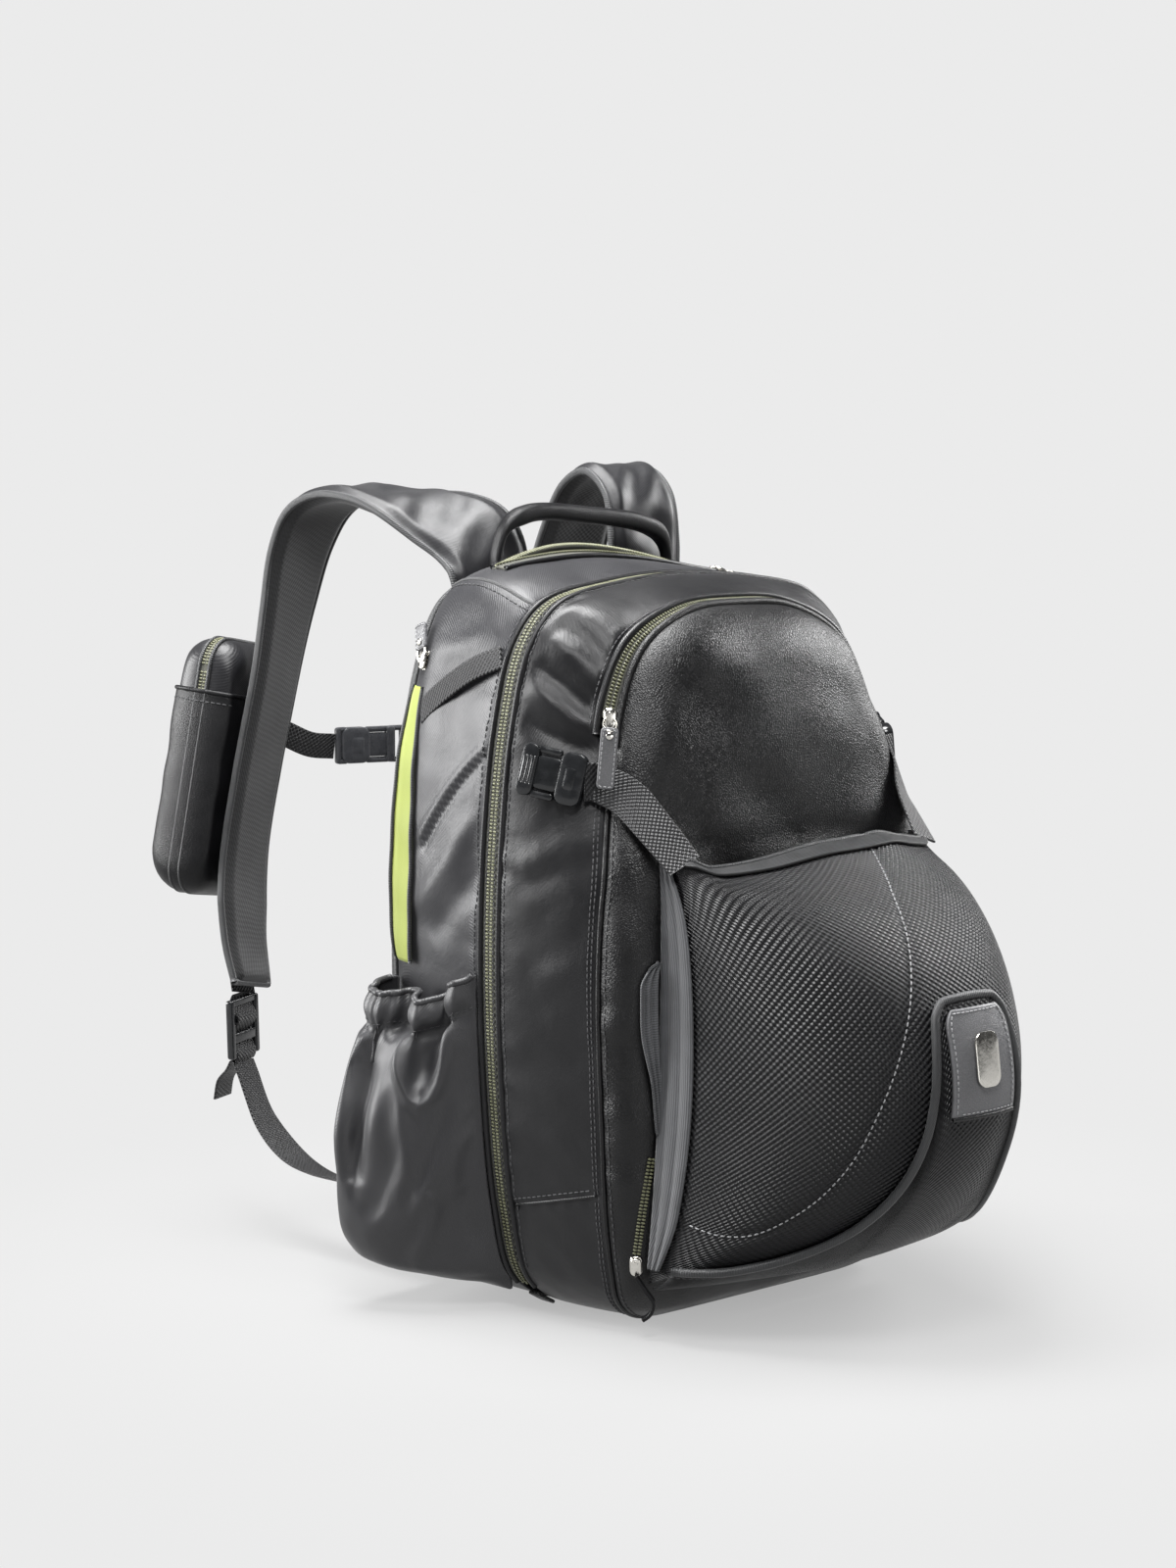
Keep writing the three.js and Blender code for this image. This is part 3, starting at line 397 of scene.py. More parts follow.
def rounded(wide: float, tall: float, radius: float, arc: int = 5) -> Array:
    """A rectangle with round corners, centred on the origin, anticlockwise."""
    turn = np.linspace(0, math.pi / 2, arc + 1)
    corners = []
    for quarter, (sx, sy) in enumerate(((1, 1), (-1, 1), (-1, -1), (1, -1))):
        angle = turn + quarter * math.pi / 2
        middle = np.array([sx * (wide / 2 - radius), sy * (tall / 2 - radius)])
        corners.append(middle + radius * np.stack([np.cos(angle), np.sin(angle)], -1))
    return np.concatenate(corners)


def slab(outline: Array, thick: float, edge: float, crown: float = 0.0) -> Shape:
    """A plate with softened edges whose underside lies on z = 0.

    Args:
        outline: The outline's points, anticlockwise.
        thick: The plate's thickness.
        edge: How far its edges are softened.
        crown: How far its middle stands higher than its edge.

    Returns:
        The closed mesh.
    """
    ahead, back = np.roll(outline, -1, 0), np.roll(outline, 1, 0)
    side = unit(ahead - back) @ np.array([[0, -1.0], [1, 0]])
    middle = outline.mean(0)
    rings = []
    for inset, z in ((edge, 0), (0.3 * edge, 0.3 * edge), (0, edge), (0, thick - edge),
                     (0.3 * edge, thick - 0.3 * edge), (edge, thick)):
        rings.append(np.column_stack([outline - side * inset, np.full(len(outline), z)]))
    for share in (0.75, 0.5, 0.25):
        top = lerp(middle, outline - side * edge, share)
        rings.append(np.column_stack([top, np.full(len(outline), thick + crown * (1 - share**2))]))
    shape = woven(np.array(rings), wrap=True)
    count = len(outline)
    shape.caps = [list(range(count))[::-1], list(range(8 * count, 9 * count))]
    return shape


def scattered(template: Shape, at: Array, x: Array, y: Array, z: Array) -> Shape:
    """Copies of a small mesh as one, each with its axes laid along x, y and z at a point."""
    v = template.vertices
    laid = at[:, None] + v[:, 0, None] * x[:, None] + v[:, 1, None] * y[:, None] + v[:, 2, None] * z[:, None]
    starts = np.arange(len(at)) * len(v)
    quads = (template.quads[None] + starts[:, None, None]).reshape(-1, 4)
    caps = [[i + int(n) for i in cap] for n in starts for cap in template.caps]
    return Shape(laid.reshape(-1, 3), quads, np.tile(template.cloth, (len(at), 1, 1)), caps)


def paced(path: Array, out: Array, pitch: float) -> tuple[Array, Array, Array]:
    """Even steps along a path.

    Args:
        path: Points of the path.
        out: The direction that faces out of what it lies on, one or one for each point.
        pitch: The step's length.

    Returns:
        Points, directions of travel and outward directions at each step.
    """
    out = np.broadcast_to(out, path.shape)
    walk = walked(path)
    places = (np.arange(max(1, int(walk[-1] / pitch))) + 0.5) * pitch

    def take(table: Array, where: Array) -> Array:
        """Rows of a table at places along the path."""
        return np.stack([np.interp(where, walk, x) for x in table.T], -1)

    along = unit(take(path, places + 0.3 * pitch) - take(path, places - 0.3 * pitch))
    return take(path, places), along, square_to(along, take(out, places))


def spindle(long: float, radius: float, sides: int = 5) -> Shape:
    """A short thread or tooth along X with tapered ends."""
    path = np.array([[-0.5, 0, 0], [-0.3, 0, 0], [0.3, 0, 0], [0.5, 0, 0]]) * long
    ring = pillow(1, 1, sides, 1.0, 1.0)
    section = ring[None] * (np.array([0.45, 1, 1, 0.45]) * radius)[:, None, None]
    return swept(path, section, np.array([0, 1.0, 0]))


def stitched(path: Array, out: Array, stitch: Sequence[float] = SEAM_STITCH) -> Shape:
    """A row of stitches along a path that lies on a surface."""
    pitch, long, radius = stitch
    at, along, outward = paced(path, out, pitch)
    return scattered(spindle(long, radius), at, along, np.cross(outward, along), outward)


# Finishes


def linear(colour: str) -> tuple[float, float, float, float]:
    """An sRGB hex colour as linear red, green, blue and alpha."""
    shares = [int(colour[i:i + 2], 16) / 255 for i in (1, 3, 5)]
    red, green, blue = (c / 12.92 if c <= 0.04045 else ((c + 0.055) / 1.055) ** 2.4 for c in shares)
    return red, green, blue, 1.0


def add_node(tree: Any, kind: str, inputs: dict | None = None, **settings: Any) -> Any:
    """Adds a shader node.

    Args:
        tree: The node tree.
        kind: The node's type.
        inputs: Values or sockets for its inputs, by name or number.
        settings: Its own options.

    Returns:
        The new node.
    """
    node = tree.nodes.new(kind)
    for key, value in settings.items():
        setattr(node, key, value)
    for key, value in (inputs or {}).items():
        if isinstance(value, bpy.types.NodeSocket):
            tree.links.new(value, node.inputs[key])
        else:
            node.inputs[key].default_value = value
    return node


def waves_per_metre(period: float) -> float:
    """The scale of a band texture whose waves are that many millimetres long."""
    return 2 * math.pi / (20 * period * MM)


def cells_per_metre(size: float) -> float:
    """The scale of a noise or cell texture whose grains are that many millimetres wide."""
    return 1 / (size * MM)


@dataclass(frozen=True)
class Finish:
    """A surface finish, with its colours and gloss. Each kind below adds its own pattern."""

    name: str
    slot: str
    colour: str
    shade: str
    roughness: float
    sheen: float = 0.0
    metallic: float = 0.0
    specular: float = 0.5

    def material(self) -> bpy.types.Material:
        """The finish's material, made on first use."""
        found = bpy.data.materials.get(self.name)
        if found:
            return found
        made = bpy.data.materials.new(self.name)
        made.use_nodes = True
        shader = made.node_tree.nodes["Principled BSDF"]
        values = {"Base Color": linear(self.colour), "Roughness": self.roughness, "Metallic": self.metallic,
                  "Specular IOR Level": self.specular, "Sheen Weight": self.sheen, "Sheen Roughness": 0.45}
        for socket, value in values.items():
            shader.inputs[socket].default_value = value
        self.pattern(made.node_tree, shader)
        return made

    def pattern(self, tree: Any, shader: Any) -> None:
        """Links the finish's pattern to its shader."""

    def tint(self, tree: Any, shader: Any, share: Any) -> None:
        """Colours the surface from shade, where share is 0, to colour, where it is 1."""
        mix = add_node(tree, "ShaderNodeMix", {0: share, 6: linear(self.shade), 7: linear(self.colour)},
                       data_type="RGBA")
        tree.links.new(mix.outputs[2], shader.inputs["Base Color"])

    def gloss(self, tree: Any, shader: Any, size: float, spread: float) -> Any:
        """Varies the roughness in patches of a size, and returns the patches."""
        place = add_node(tree, "ShaderNodeTexCoord").outputs["Object"]
        patches = add_node(tree, "ShaderNodeTexNoise",
                           {"Vector": place, "Scale": cells_per_metre(size), "Detail": 3.0}).outputs["Fac"]
        level = add_node(tree, "ShaderNodeMapRange",
                         {"Value": patches, "From Min": 0.3, "From Max": 0.7,
                          "To Min": self.roughness - spread, "To Max": self.roughness + spread})
        tree.links.new(level.outputs["Result"], shader.inputs["Roughness"])
        return patches

    def bump(self, tree: Any, shader: Any, height: Any, depth: float, strength: float,
             under: Any = None) -> Any:
        """Raises the surface by a pattern.

        Args:
            tree: The node tree.
            shader: The finish's shader.
            height: The pattern's socket.
            depth: The relief's depth, in millimetres.
            strength: How much of it shows.
            under: Another relief below this one.

        Returns:
            The relief's socket.
        """
        inputs = {"Height": height, "Distance": depth * MM, "Strength": strength}
        if under is not None:
            inputs["Normal"] = under
        relief = add_node(tree, "ShaderNodeBump", inputs).outputs["Normal"]
        tree.links.new(relief, shader.inputs["Normal"])
        return relief


@dataclass(frozen=True)
class PebbledLeather(Finish):
    """Full-grain leather, embossed and lightly finished: small pebbles, with matter creases between."""

    grain: float = 1.7
    relief: float = 0.5

    def pattern(self, tree: Any, shader: Any) -> None:
        """Pebbles of the grain's width over a soft mottle."""
        place = add_node(tree, "ShaderNodeTexCoord").outputs["Object"]
        coarse = cells_per_metre(3 * self.grain)
        bend = add_node(tree, "ShaderNodeTexNoise", {"Vector": place, "Scale": coarse})
        jog = add_node(tree, "ShaderNodeVectorMath", {0: bend.outputs["Color"], 1: (0.0012,) * 3},
                       operation="MULTIPLY")
        moved = add_node(tree, "ShaderNodeVectorMath", {0: place, 1: jog.outputs[0]}, operation="ADD")
        cells = add_node(tree, "ShaderNodeTexVoronoi",
                         {"Vector": moved.outputs[0], "Scale": cells_per_metre(self.grain)},
                         feature="DISTANCE_TO_EDGE").outputs["Distance"]
        pebble = add_node(tree, "ShaderNodeMapRange", {"Value": cells, "From Max": 0.32}).outputs["Result"]
        patches = self.gloss(tree, shader, 26, 0.07)
        share = add_node(tree, "ShaderNodeMath", {0: pebble, 1: 0.55, 2: patches}, operation="MULTIPLY_ADD",
                         use_clamp=True).outputs[0]
        self.tint(tree, shader, share)
        self.bump(tree, shader, pebble, 0.4, self.relief)


@dataclass(frozen=True)
class NylonTwill(Finish):
    """Nylon twill with a coated back: a faint diagonal thread and a satin gloss that runs along its folds."""

    thread: float = 2.0  # about three times the real spacing, so that it shows
    crinkle: float = 16.0

    def pattern(self, tree: Any, shader: Any) -> None:
        """Diagonal threads over small crinkles."""
        cloth = add_node(tree, "ShaderNodeUVMap", uv_map=CLOTH_MAP).outputs["UV"]
        twill = add_node(tree, "ShaderNodeTexWave",
                         {"Vector": cloth, "Scale": 2 * waves_per_metre(self.thread)},
                         bands_direction="DIAGONAL").outputs["Fac"]
        place = add_node(tree, "ShaderNodeTexCoord").outputs["Object"]
        crinkle = add_node(tree, "ShaderNodeTexNoise",
                           {"Vector": place, "Scale": cells_per_metre(self.crinkle), "Detail": 4.0,
                            "Roughness": 0.6, "Distortion": 0.5}).outputs["Fac"]
        patches = self.gloss(tree, shader, 40, 0.05)
        share = add_node(tree, "ShaderNodeMath", {0: twill, 1: 0.35, 2: patches}, operation="MULTIPLY_ADD",
                         use_clamp=True).outputs[0]
        self.tint(tree, shader, share)
        under = self.bump(tree, shader, crinkle, 1.2, 0.3)
        self.bump(tree, shader, twill, 0.15, 0.4, under)


@dataclass(frozen=True)
class DottedWeave(Finish):
    """Threads woven over each other in staggered rows: small lit knots with dark gaps between."""

    pitch: float = 4.8  # drawn coarser than the real knit, so that its knots show
    row: float = 4.3
    depth: float = 1.1
    strength: float = 1.0

    def pattern(self, tree: Any, shader: Any) -> None:
        """Knots in staggered rows, from two crossed waves."""
        cloth = add_node(tree, "ShaderNodeUVMap", uv_map=CLOTH_MAP).outputs["UV"]
        lobes = []
        for direction, period in (("X", self.pitch), ("Y", self.row)):
            wave = add_node(tree, "ShaderNodeTexWave", {"Vector": cloth, "Scale": waves_per_metre(period)},
                            bands_direction=direction).outputs["Fac"]
            lobes.append(add_node(tree, "ShaderNodeMath", {0: wave, 1: 0.5}, operation="SUBTRACT").outputs[0])
        crossed = add_node(tree, "ShaderNodeMath", dict(enumerate(lobes)), operation="MULTIPLY").outputs[0]
        knot = add_node(tree, "ShaderNodeMapRange",
                        {"Value": crossed, "From Min": -0.2, "From Max": 0.22}).outputs["Result"]
        patches = self.gloss(tree, shader, 30, 0.06)
        worn = add_node(tree, "ShaderNodeMapRange",
                        {"Value": patches, "From Min": 0.25, "From Max": 0.75, "To Min": 0.75, "To Max": 1.1})
        share = add_node(tree, "ShaderNodeMath", {0: knot, 1: worn.outputs["Result"]}, operation="MULTIPLY",
                         use_clamp=True).outputs[0]
        self.tint(tree, shader, share)
        self.bump(tree, shader, knot, self.depth, self.strength)


@dataclass(frozen=True)
class RibbedTape(Finish):
    """Narrow tape woven with ribs across it, which catch the light as fine lines."""

    rib: float = 1.6
    direction: str = "Y"

    def pattern(self, tree: Any, shader: Any) -> None:
        """Ribs across the tape, broken up by a fine noise."""
        cloth = add_node(tree, "ShaderNodeUVMap", uv_map=CLOTH_MAP).outputs["UV"]
        ribs = add_node(tree, "ShaderNodeTexWave",
                        {"Vector": cloth, "Scale": waves_per_metre(self.rib), "Distortion": 1.2,
                         "Detail": 2.0, "Detail Scale": 3.0},
                        bands_direction=self.direction).outputs["Fac"]
        patches = self.gloss(tree, shader, 12, 0.06)
        share = add_node(tree, "ShaderNodeMath", {0: ribs, 1: patches}, operation="MULTIPLY").outputs[0]
        share = add_node(tree, "ShaderNodeMath", {0: share, 1: 1.7}, operation="MULTIPLY",
                         use_clamp=True).outputs[0]
        self.tint(tree, shader, share)
        self.bump(tree, shader, ribs, 0.25, 0.6)


@dataclass(frozen=True)
class MouldedResin(Finish):
    """Injection-moulded resin from a spark-eroded tool: a fine even grit under a low gloss."""

    grit: float = 0.7

    def pattern(self, tree: Any, shader: Any) -> None:
        """Fine grit with a few duller patches."""
        place = add_node(tree, "ShaderNodeTexCoord").outputs["Object"]
        grit = add_node(tree, "ShaderNodeTexNoise",
                        {"Vector": place, "Scale": cells_per_metre(self.grit), "Detail": 2.0}).outputs["Fac"]
        self.tint(tree, shader, self.gloss(tree, shader, 6, 0.08))
        self.bump(tree, shader, grit, 0.08, 0.4)


@dataclass(frozen=True)
class PlatedZinc(Finish):
    """Die-cast zinc, polished and plated: bright, with faint waves and hairlines in the plating."""

    wave: float = 3.0

    def pattern(self, tree: Any, shader: Any) -> None:
        """Slow waves in the polish and a slightly uneven gloss."""
        place = add_node(tree, "ShaderNodeTexCoord").outputs["Object"]
        waves = add_node(tree, "ShaderNodeTexNoise",
                         {"Vector": place, "Scale": cells_per_metre(self.wave), "Detail": 1.0}).outputs["Fac"]
        self.tint(tree, shader, self.gloss(tree, shader, 2, 0.06))
        self.bump(tree, shader, waves, 0.12, 0.3)


# These three nylon twills are one black cloth in three tones: the side and pocket copies are painted lighter,
# as the light that falls on the bag's sides and its pocket, and the first, on the front gusset, is the
# darker, shaded copy. The pocket copy's higher roughness is the cloth's own matte finish.
NYLON = NylonTwill("coated_nylon_twill", "nylon", "#111113", "#0a0a0c", 0.36, sheen=0.04, specular=0.3)
LIT_SIDE_NYLON = NylonTwill("side_nylon_twill", "nylon", "#1f1f22", "#161619", 0.4, sheen=0.06, specular=0.32)
LIT_POCKET_NYLON = NylonTwill("soft_nylon_twill", "nylon", "#2b2b2d", "#202022", 0.44, sheen=0.08, specular=0.42)
LEATHER = PebbledLeather("pebbled_leather", "leather", "#101011", "#060607", 0.39, specular=0.3, grain=1.6,
                         relief=0.4)
SMOOTH_LEATHER = PebbledLeather("smooth_leather", "leather", "#0d0d0f", "#070708", 0.42, specular=0.22,
                                grain=1.2, relief=0.25)
# Paler leather for the zip pulls and the flap's tab; on the tab, which is the same leather as the front, the
# paler colour is painted light.
PALE_PULL_AND_LIT_TAB_LEATHER = PebbledLeather("worn_pull_leather", "leather", "#5a5a5c", "#3a3a3c", 0.4, grain=1.2,
                              relief=0.3)
POUCH_MESH = DottedWeave("warp_knit_mesh", "mesh", "#1c1c1e", "#020203", 0.4, specular=0.24)
SPACER = DottedWeave("spacer_knit", "padding", "#1a1a1c", "#0d0d0e", 0.75, sheen=0.15, pitch=4.2, row=3.8,
                     depth=0.4, strength=0.4)
STRAP_CLOTH = NylonTwill("strap_face_nylon", "padding", "#151518", "#0f0f11", 0.4, sheen=0.06, specular=0.32)
WEBBING = DottedWeave("polyester_webbing", "webbing", "#1f1f21", "#040405", 0.5, sheen=0.05, specular=0.35,
                      pitch=3.6, row=3.2, depth=0.7, strength=0.9)
BINDING = RibbedTape("grosgrain_binding", "binding", "#4a4b4e", "#2b2c2e", 0.65, sheen=0.15)
DARK_BINDING = RibbedTape("dark_grosgrain", "binding", "#2a2b2d", "#131415", 0.5, sheen=0.1)
FOLDED_ELASTIC = RibbedTape("folded_elastic", "binding", "#141517", "#08090a", 0.55, specular=0.35)
ZIP_TAPE = RibbedTape("zip_tape", "zip_tape", "#2a2b25", "#11120f", 0.65, sheen=0.1)
ZIP_COIL = MouldedResin("nylon_coil", "zip_tape", "#717259", "#45462f", 0.38, grit=1.0)
LIME = NylonTwill("lime_lining_cloth", "lime_cloth", "#7f8931", "#727b2a", 0.65, sheen=0.1, thread=1.4,
                  crinkle=30)
GREY_RESIN = MouldedResin("grey_acetal", "black_plastic", "#47484b", "#353639", 0.3)
RESIN = MouldedResin("moulded_acetal", "black_plastic", "#1d1e20", "#131415", 0.22)
NICKEL = PlatedZinc("nickel_plated_zinc", "nickel", "#d9d7d1", "#bdbab3", 0.2, metallic=1.0)
THREAD = RibbedTape("bonded_thread", "nylon", "#3e3e40", "#202022", 0.6, rib=0.8)
LIGHT_THREAD = RibbedTape("grey_thread", "mesh", "#a4a4a6", "#6c6d6e", 0.55, rib=0.8)


def piece(name: str, shape: Shape, finish: Finish, nodes: Sequence[str] = (), wall: float = 0.0,
          sharp: float = 180.0, inside: Any = None) -> bpy.types.Object:
    """Makes a piece that rides on the bag.

    Args:
        name: The piece's name.
        shape: Its mesh.
        finish: Its finish.
        nodes: The solids that it stands for.
        wall: Thickness laid behind an open sheet.
        sharp: Edges that turn by more degrees than this stay crisp.
        inside: A point behind the sheet, its middle unless given.

    Returns:
        The new object.
    """
    shape = shape.facing_from(inside)
    mesh = bpy.data.meshes.new(name)
    mesh.from_pydata(shape.vertices * MM, [], shape.quads.tolist() + shape.caps)
    mesh.validate()
    coords = np.zeros((len(mesh.loops), 2), np.float32)
    count = min(shape.cloth.size // 2, len(mesh.loops))
    coords[:count] = shape.cloth.reshape(-1, 2)[:count]
    mesh.uv_layers.new(name=CLOTH_MAP).uv.foreach_set("vector", coords.ravel())
    mesh.polygons.foreach_set("use_smooth", np.ones(len(mesh.polygons), bool))
    if sharp < 180:
        mesh.set_sharp_from_angle(angle=math.radians(sharp))
    mesh.materials.append(finish.material())
    made = bpy.data.objects.new(name, mesh)
    bpy.context.scene.collection.objects.link(made)
    if wall:
        thick = made.modifiers.new("wall", "SOLIDIFY")
        thick.thickness, thick.offset = wall * MM, -1.0
    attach(made, "root")
    if nodes:
        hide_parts(*nodes)
    LOG.info("%s: %d faces, %s", name, len(mesh.polygons), finish.name)
    return made


def stitch_row(name: str, surface: Surface, a: Any, b: Any, off: float = 0.15,
               stitch: Sequence[float] = SEAM_STITCH, finish: Finish = THREAD) -> None:
    """Sews stitches along a line of a surface.

    Args:
        name: The row's name.
        surface: What it is sewn to.
        a: The line's first shares.
        b: Its second shares.
        off: How far the thread stands off the surface.
        stitch: Pitch, length and radius of a stitch.
        finish: The thread.
    """
    path, out = surface.trace(a, b, off)
    piece(name, stitched(path, out, stitch), finish)


@dataclass(frozen=True)
class Seat:
    """Where a hard piece sits: its middle, its length, its width and the way it faces."""

    at: Array
    along: Array
    across: Array
    out: Array

    @classmethod
    def of(cls, node: str, along: Route, out: Route) -> "Seat":
        """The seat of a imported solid.

        Args:
            node: The solid's name.
            along: Roughly the direction of its length.
            out: Roughly the way it faces.

        Returns:
            The seat, on the solid's own axes.
        """
        points = np.array([v.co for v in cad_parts[node].data.vertices]) / MM
        points = np.unique(points.round(3), axis=0)
        middle = (points.min(0) + points.max(0)) / 2
        axes = np.linalg.svd(points - points.mean(0), full_matrices=False)[2]
        thin = axes[int(np.argmax(np.abs(axes @ unit(np.array(out, float)))))]
        thin = thin * np.sign(thin @ np.array(out, float))
        guide = np.array(along, float)
        long = max((a for a in axes if abs(a @ thin) < 0.5), key=lambda a: abs(a @ guide))
        long = long * np.sign(long @ guide)
        return cls(middle, long, np.cross(long, thin), thin)

    def lay(self, shape: Shape, x: float = 0.0, y: float = 0.0, z: float = 0.0) -> Shape:
        """A mesh laid on the seat, with its X across, its Y along and its Z out."""
        at = self.at + self.across * x + self.along * y + self.out * z
        return shape.moved(at, self.across, self.along, self.out)


def moulded(seat: Seat, rows: Route) -> Shape:
    """Rounded blocks laid on a seat: each row holds width, length, corner, thickness, x and y."""
    return joined([seat.lay(slab(rounded(w, h, r), thick, 0.22 * thick, 0.4), x, y, -thick / 2)
                   for w, h, r, thick, x, y in rows])


@dataclass(frozen=True)
class Drape:
    """A short cloth simulation in which a sheet settles into folds of its own."""

    grow: float
    pressure: float
    bend: float = 2.0
    frames: int = 24
    cap: float = 6.0

    def settle(self, made: bpy.types.Object, held: Array) -> None:
        """Runs the simulation and keeps its result in the mesh.

        Args:
            made: The sheet.
            held: Whether each of its vertices stays in place.
        """
        count = len(made.data.vertices)
        start, end = np.empty(3 * count, np.float32), np.empty(3 * count, np.float32)
        made.data.vertices.foreach_get("co", start)
        for other in made.modifiers:
            other.show_viewport = False
        group = made.vertex_groups.new(name="held")
        group.add(np.flatnonzero(held).tolist(), 1.0, "REPLACE")
        cloth = made.modifiers.new("drape", "CLOTH")
        values = {"quality": 6, "mass": 0.15, "bending_stiffness": self.bend, "vertex_group_mass": group.name,
                  "shrink_min": -self.grow, "use_pressure": True, "uniform_pressure_force": self.pressure}
        for name, value in values.items():
            setattr(cloth.settings, name, value)
        cloth.settings.effector_weights.gravity = 0.05
        cloth.collision_settings.use_collision = False
        cloth.point_cache.frame_end = self.frames
        for number in range(1, self.frames + 1):
            bpy.context.scene.frame_set(number)
        settled = made.evaluated_get(bpy.context.evaluated_depsgraph_get())
        settled.data.vertices.foreach_get("co", end)
        made.modifiers.remove(cloth)
        made.vertex_groups.remove(group)
        for other in made.modifiers:
            other.show_viewport = True
        step = (end - start).reshape(-1, 3)
        far = np.linalg.norm(step, axis=1, keepdims=True)
        step *= np.minimum(1, self.cap * MM / np.maximum(far, 1e-9))
        made.data.vertices.foreach_set("co", start + step.ravel())
        bpy.context.scene.frame_set(1)
        LOG.info("%s: settled, largest move %.1f mm", made.name, float(far.max()) / MM)


# Body


def mirrored(half: Route) -> Spline:
    """A closed outline in X and Z from its right half, walked from the middle of the base."""
    right = [tuple(p) for p in half]
    return Spline(right + [(-x, z) for x, z in right[-2:0:-1]], closed=True)


@dataclass(frozen=True)
class BodyForm:
    """Sizes and smooth surfaces of the bag's body, from which its pieces are cut.

    The share s goes round the bag from the middle of the base, up the right side and down the left.
    """

    # Outlines at the main zip and at the seam between nylon and leather, then how far forward the front
    # stands at each height, and the rear gusset's shares of the outline's width and height at each depth.
    zip_line: Spline = mirrored((
        (0, 0), (70, 0), (112, 4), (139, 24), (152, 70), (160, 150), (162, 230), (158, 310), (149, 378),
        (134, 428), (111, 453), (58, 465), (0, 469)))
    seam_line: Spline = mirrored((
        (0, 0), (62, 0), (98, 3), (122, 20), (134, 62), (140, 135), (142, 222), (136, 285), (121, 342),
        (108, 388), (87, 426), (46, 448), (0, 452)))
    front_y: TableCurve = TableCurve((
        (0, -90), (12, -100), (40, -109), (150, -113), (280, -111), (335, -98), (390, -86), (435, -80),
        (458, -74), (480, -68)))
    wide: TableCurve = TableCurve(((3, 1), (35, 1.012), (70, 1.006), (88, 0.985), (97, 0.955)))
    tall: TableCurve = TableCurve(((3, 1), (35, 1.008), (70, 1.006), (88, 0.998), (97, 0.986)))
    zip_front: float = -13.0
    zip_back: float = 3.0
    back: float = 97.0
    seam_share: float = 0.75
    corner_share: float = 24 / 147
    face_share: float = 0.6
    face_middle: float = 225.0
    puff: float = 13.0
    shoulder_rise: float = 11.0
    middle: tuple[float, float, float] = (0.0, 20.0, 230.0)

    @cached_property
    def side_half(self) -> TableCurve:
        """Half the body's width at each height, at the main zip."""
        x, z = self.edge(self.zip_line, np.linspace(0.1, 0.4, 80))
        return TableCurve(np.stack([z, x], -1))

    @staticmethod
    def edge(line: Spline, s: Array) -> tuple[Array, Array]:
        """X and Z of an outline, kept above the floor."""
        p = line.at(s)
        return p[..., 0], np.maximum(p[..., 1], 0)

    def seam_y(self, z: Array) -> Array:
        """How far forward the leather seam lies at each height."""
        return lerp(self.zip_front, self.front_y(z), self.seam_share)

    def top(self, x: Array, z: Array, y: Any) -> Array:
        """Heights of the rear gusset, whose left shoulder stands higher than its right one."""
        rise = smooth(y, 3, 62) * smooth(-x, -70, 70) * smooth(z, 412, 452)
        return z * self.tall(y) + self.shoulder_rise * rise

    def rear(self, s: Array, y: Array) -> Array:
        """Points of the rear gusset."""
        x, z = self.edge(self.zip_line, s)
        return np.stack([x * self.wide(y), y + 0 * x, self.top(x, z, y)], -1)

    def gusset(self, s: Array, t: Array) -> Array:
        """Points of the front gusset, from the zip at t = 0 to the leather seam at t = 1."""
        (x0, z0), (x1, z1) = self.edge(self.zip_line, s), self.edge(self.seam_line, s)
        ease = np.clip(t, 0, None) ** 1.7
        z = lerp(z0, z1, ease)
        return np.stack([lerp(x0, x1, ease), lerp(self.zip_front, self.seam_y(z), t), z], -1)

    def front(self, s: Array, r: Array) -> Array:
        """Points of the leather front, from its middle at r = 0 to the seam at r = 1."""
        x1, z1 = self.edge(self.seam_line, s)
        shrink = 1 - self.corner_share
        face_x, face_z = x1 * shrink, lerp(self.face_middle, z1, shrink)
        k = np.clip(r / self.face_share, None, 1)
        turn = np.clip((1 - r) / (1 - self.face_share), None, 1) * (math.pi / 2)
        inset = np.where(r <= self.face_share, 1.0, 1 - np.cos(turn))
        rise = np.where(r <= self.face_share, 1.0, np.sin(turn))
        x = np.where(r <= self.face_share, face_x * k, lerp(x1, face_x, inset))
        z = np.where(r <= self.face_share, lerp(self.face_middle, face_z, k), lerp(z1, face_z, inset))
        bulge = self.puff * np.clip(1 - ((z - 385) / 78) ** 2, 0, None) * np.clip(1 - (x / 112) ** 2, 0, None)
        return np.stack([x, lerp(self.seam_y(z), self.front_y(z), rise) - bulge * rise, z], -1)

    def wrapped(self, s: Array, q: Array) -> Array:
        """The front as one surface: leather up to q = 1, then the gusset back to the zip at q = 2."""
        on_leather = np.asarray(q)[..., None] <= 1
        return np.where(on_leather, self.front(s, np.minimum(q, 1)), self.gusset(s, np.clip(2 - q, 0, 1)))

    def left_x(self, y: Array, z: Array) -> Array:
        """How far the left side stands out at a depth and height of the rear gusset."""
        return -self.side_half(z / self.tall(y)) * self.wide(y)

    def seam_at(self, side: Side, z: Any, t: float = 1.0) -> Array:
        """The share round the bag where a side of the front gusset passes a height."""
        s = np.linspace(0.1, 0.46, 400)
        found = np.interp(z, self.gusset(s, np.full(400, t))[:, 2], s)
        return found if side is Side.RIGHT else 1 - found


FORM = BodyForm()


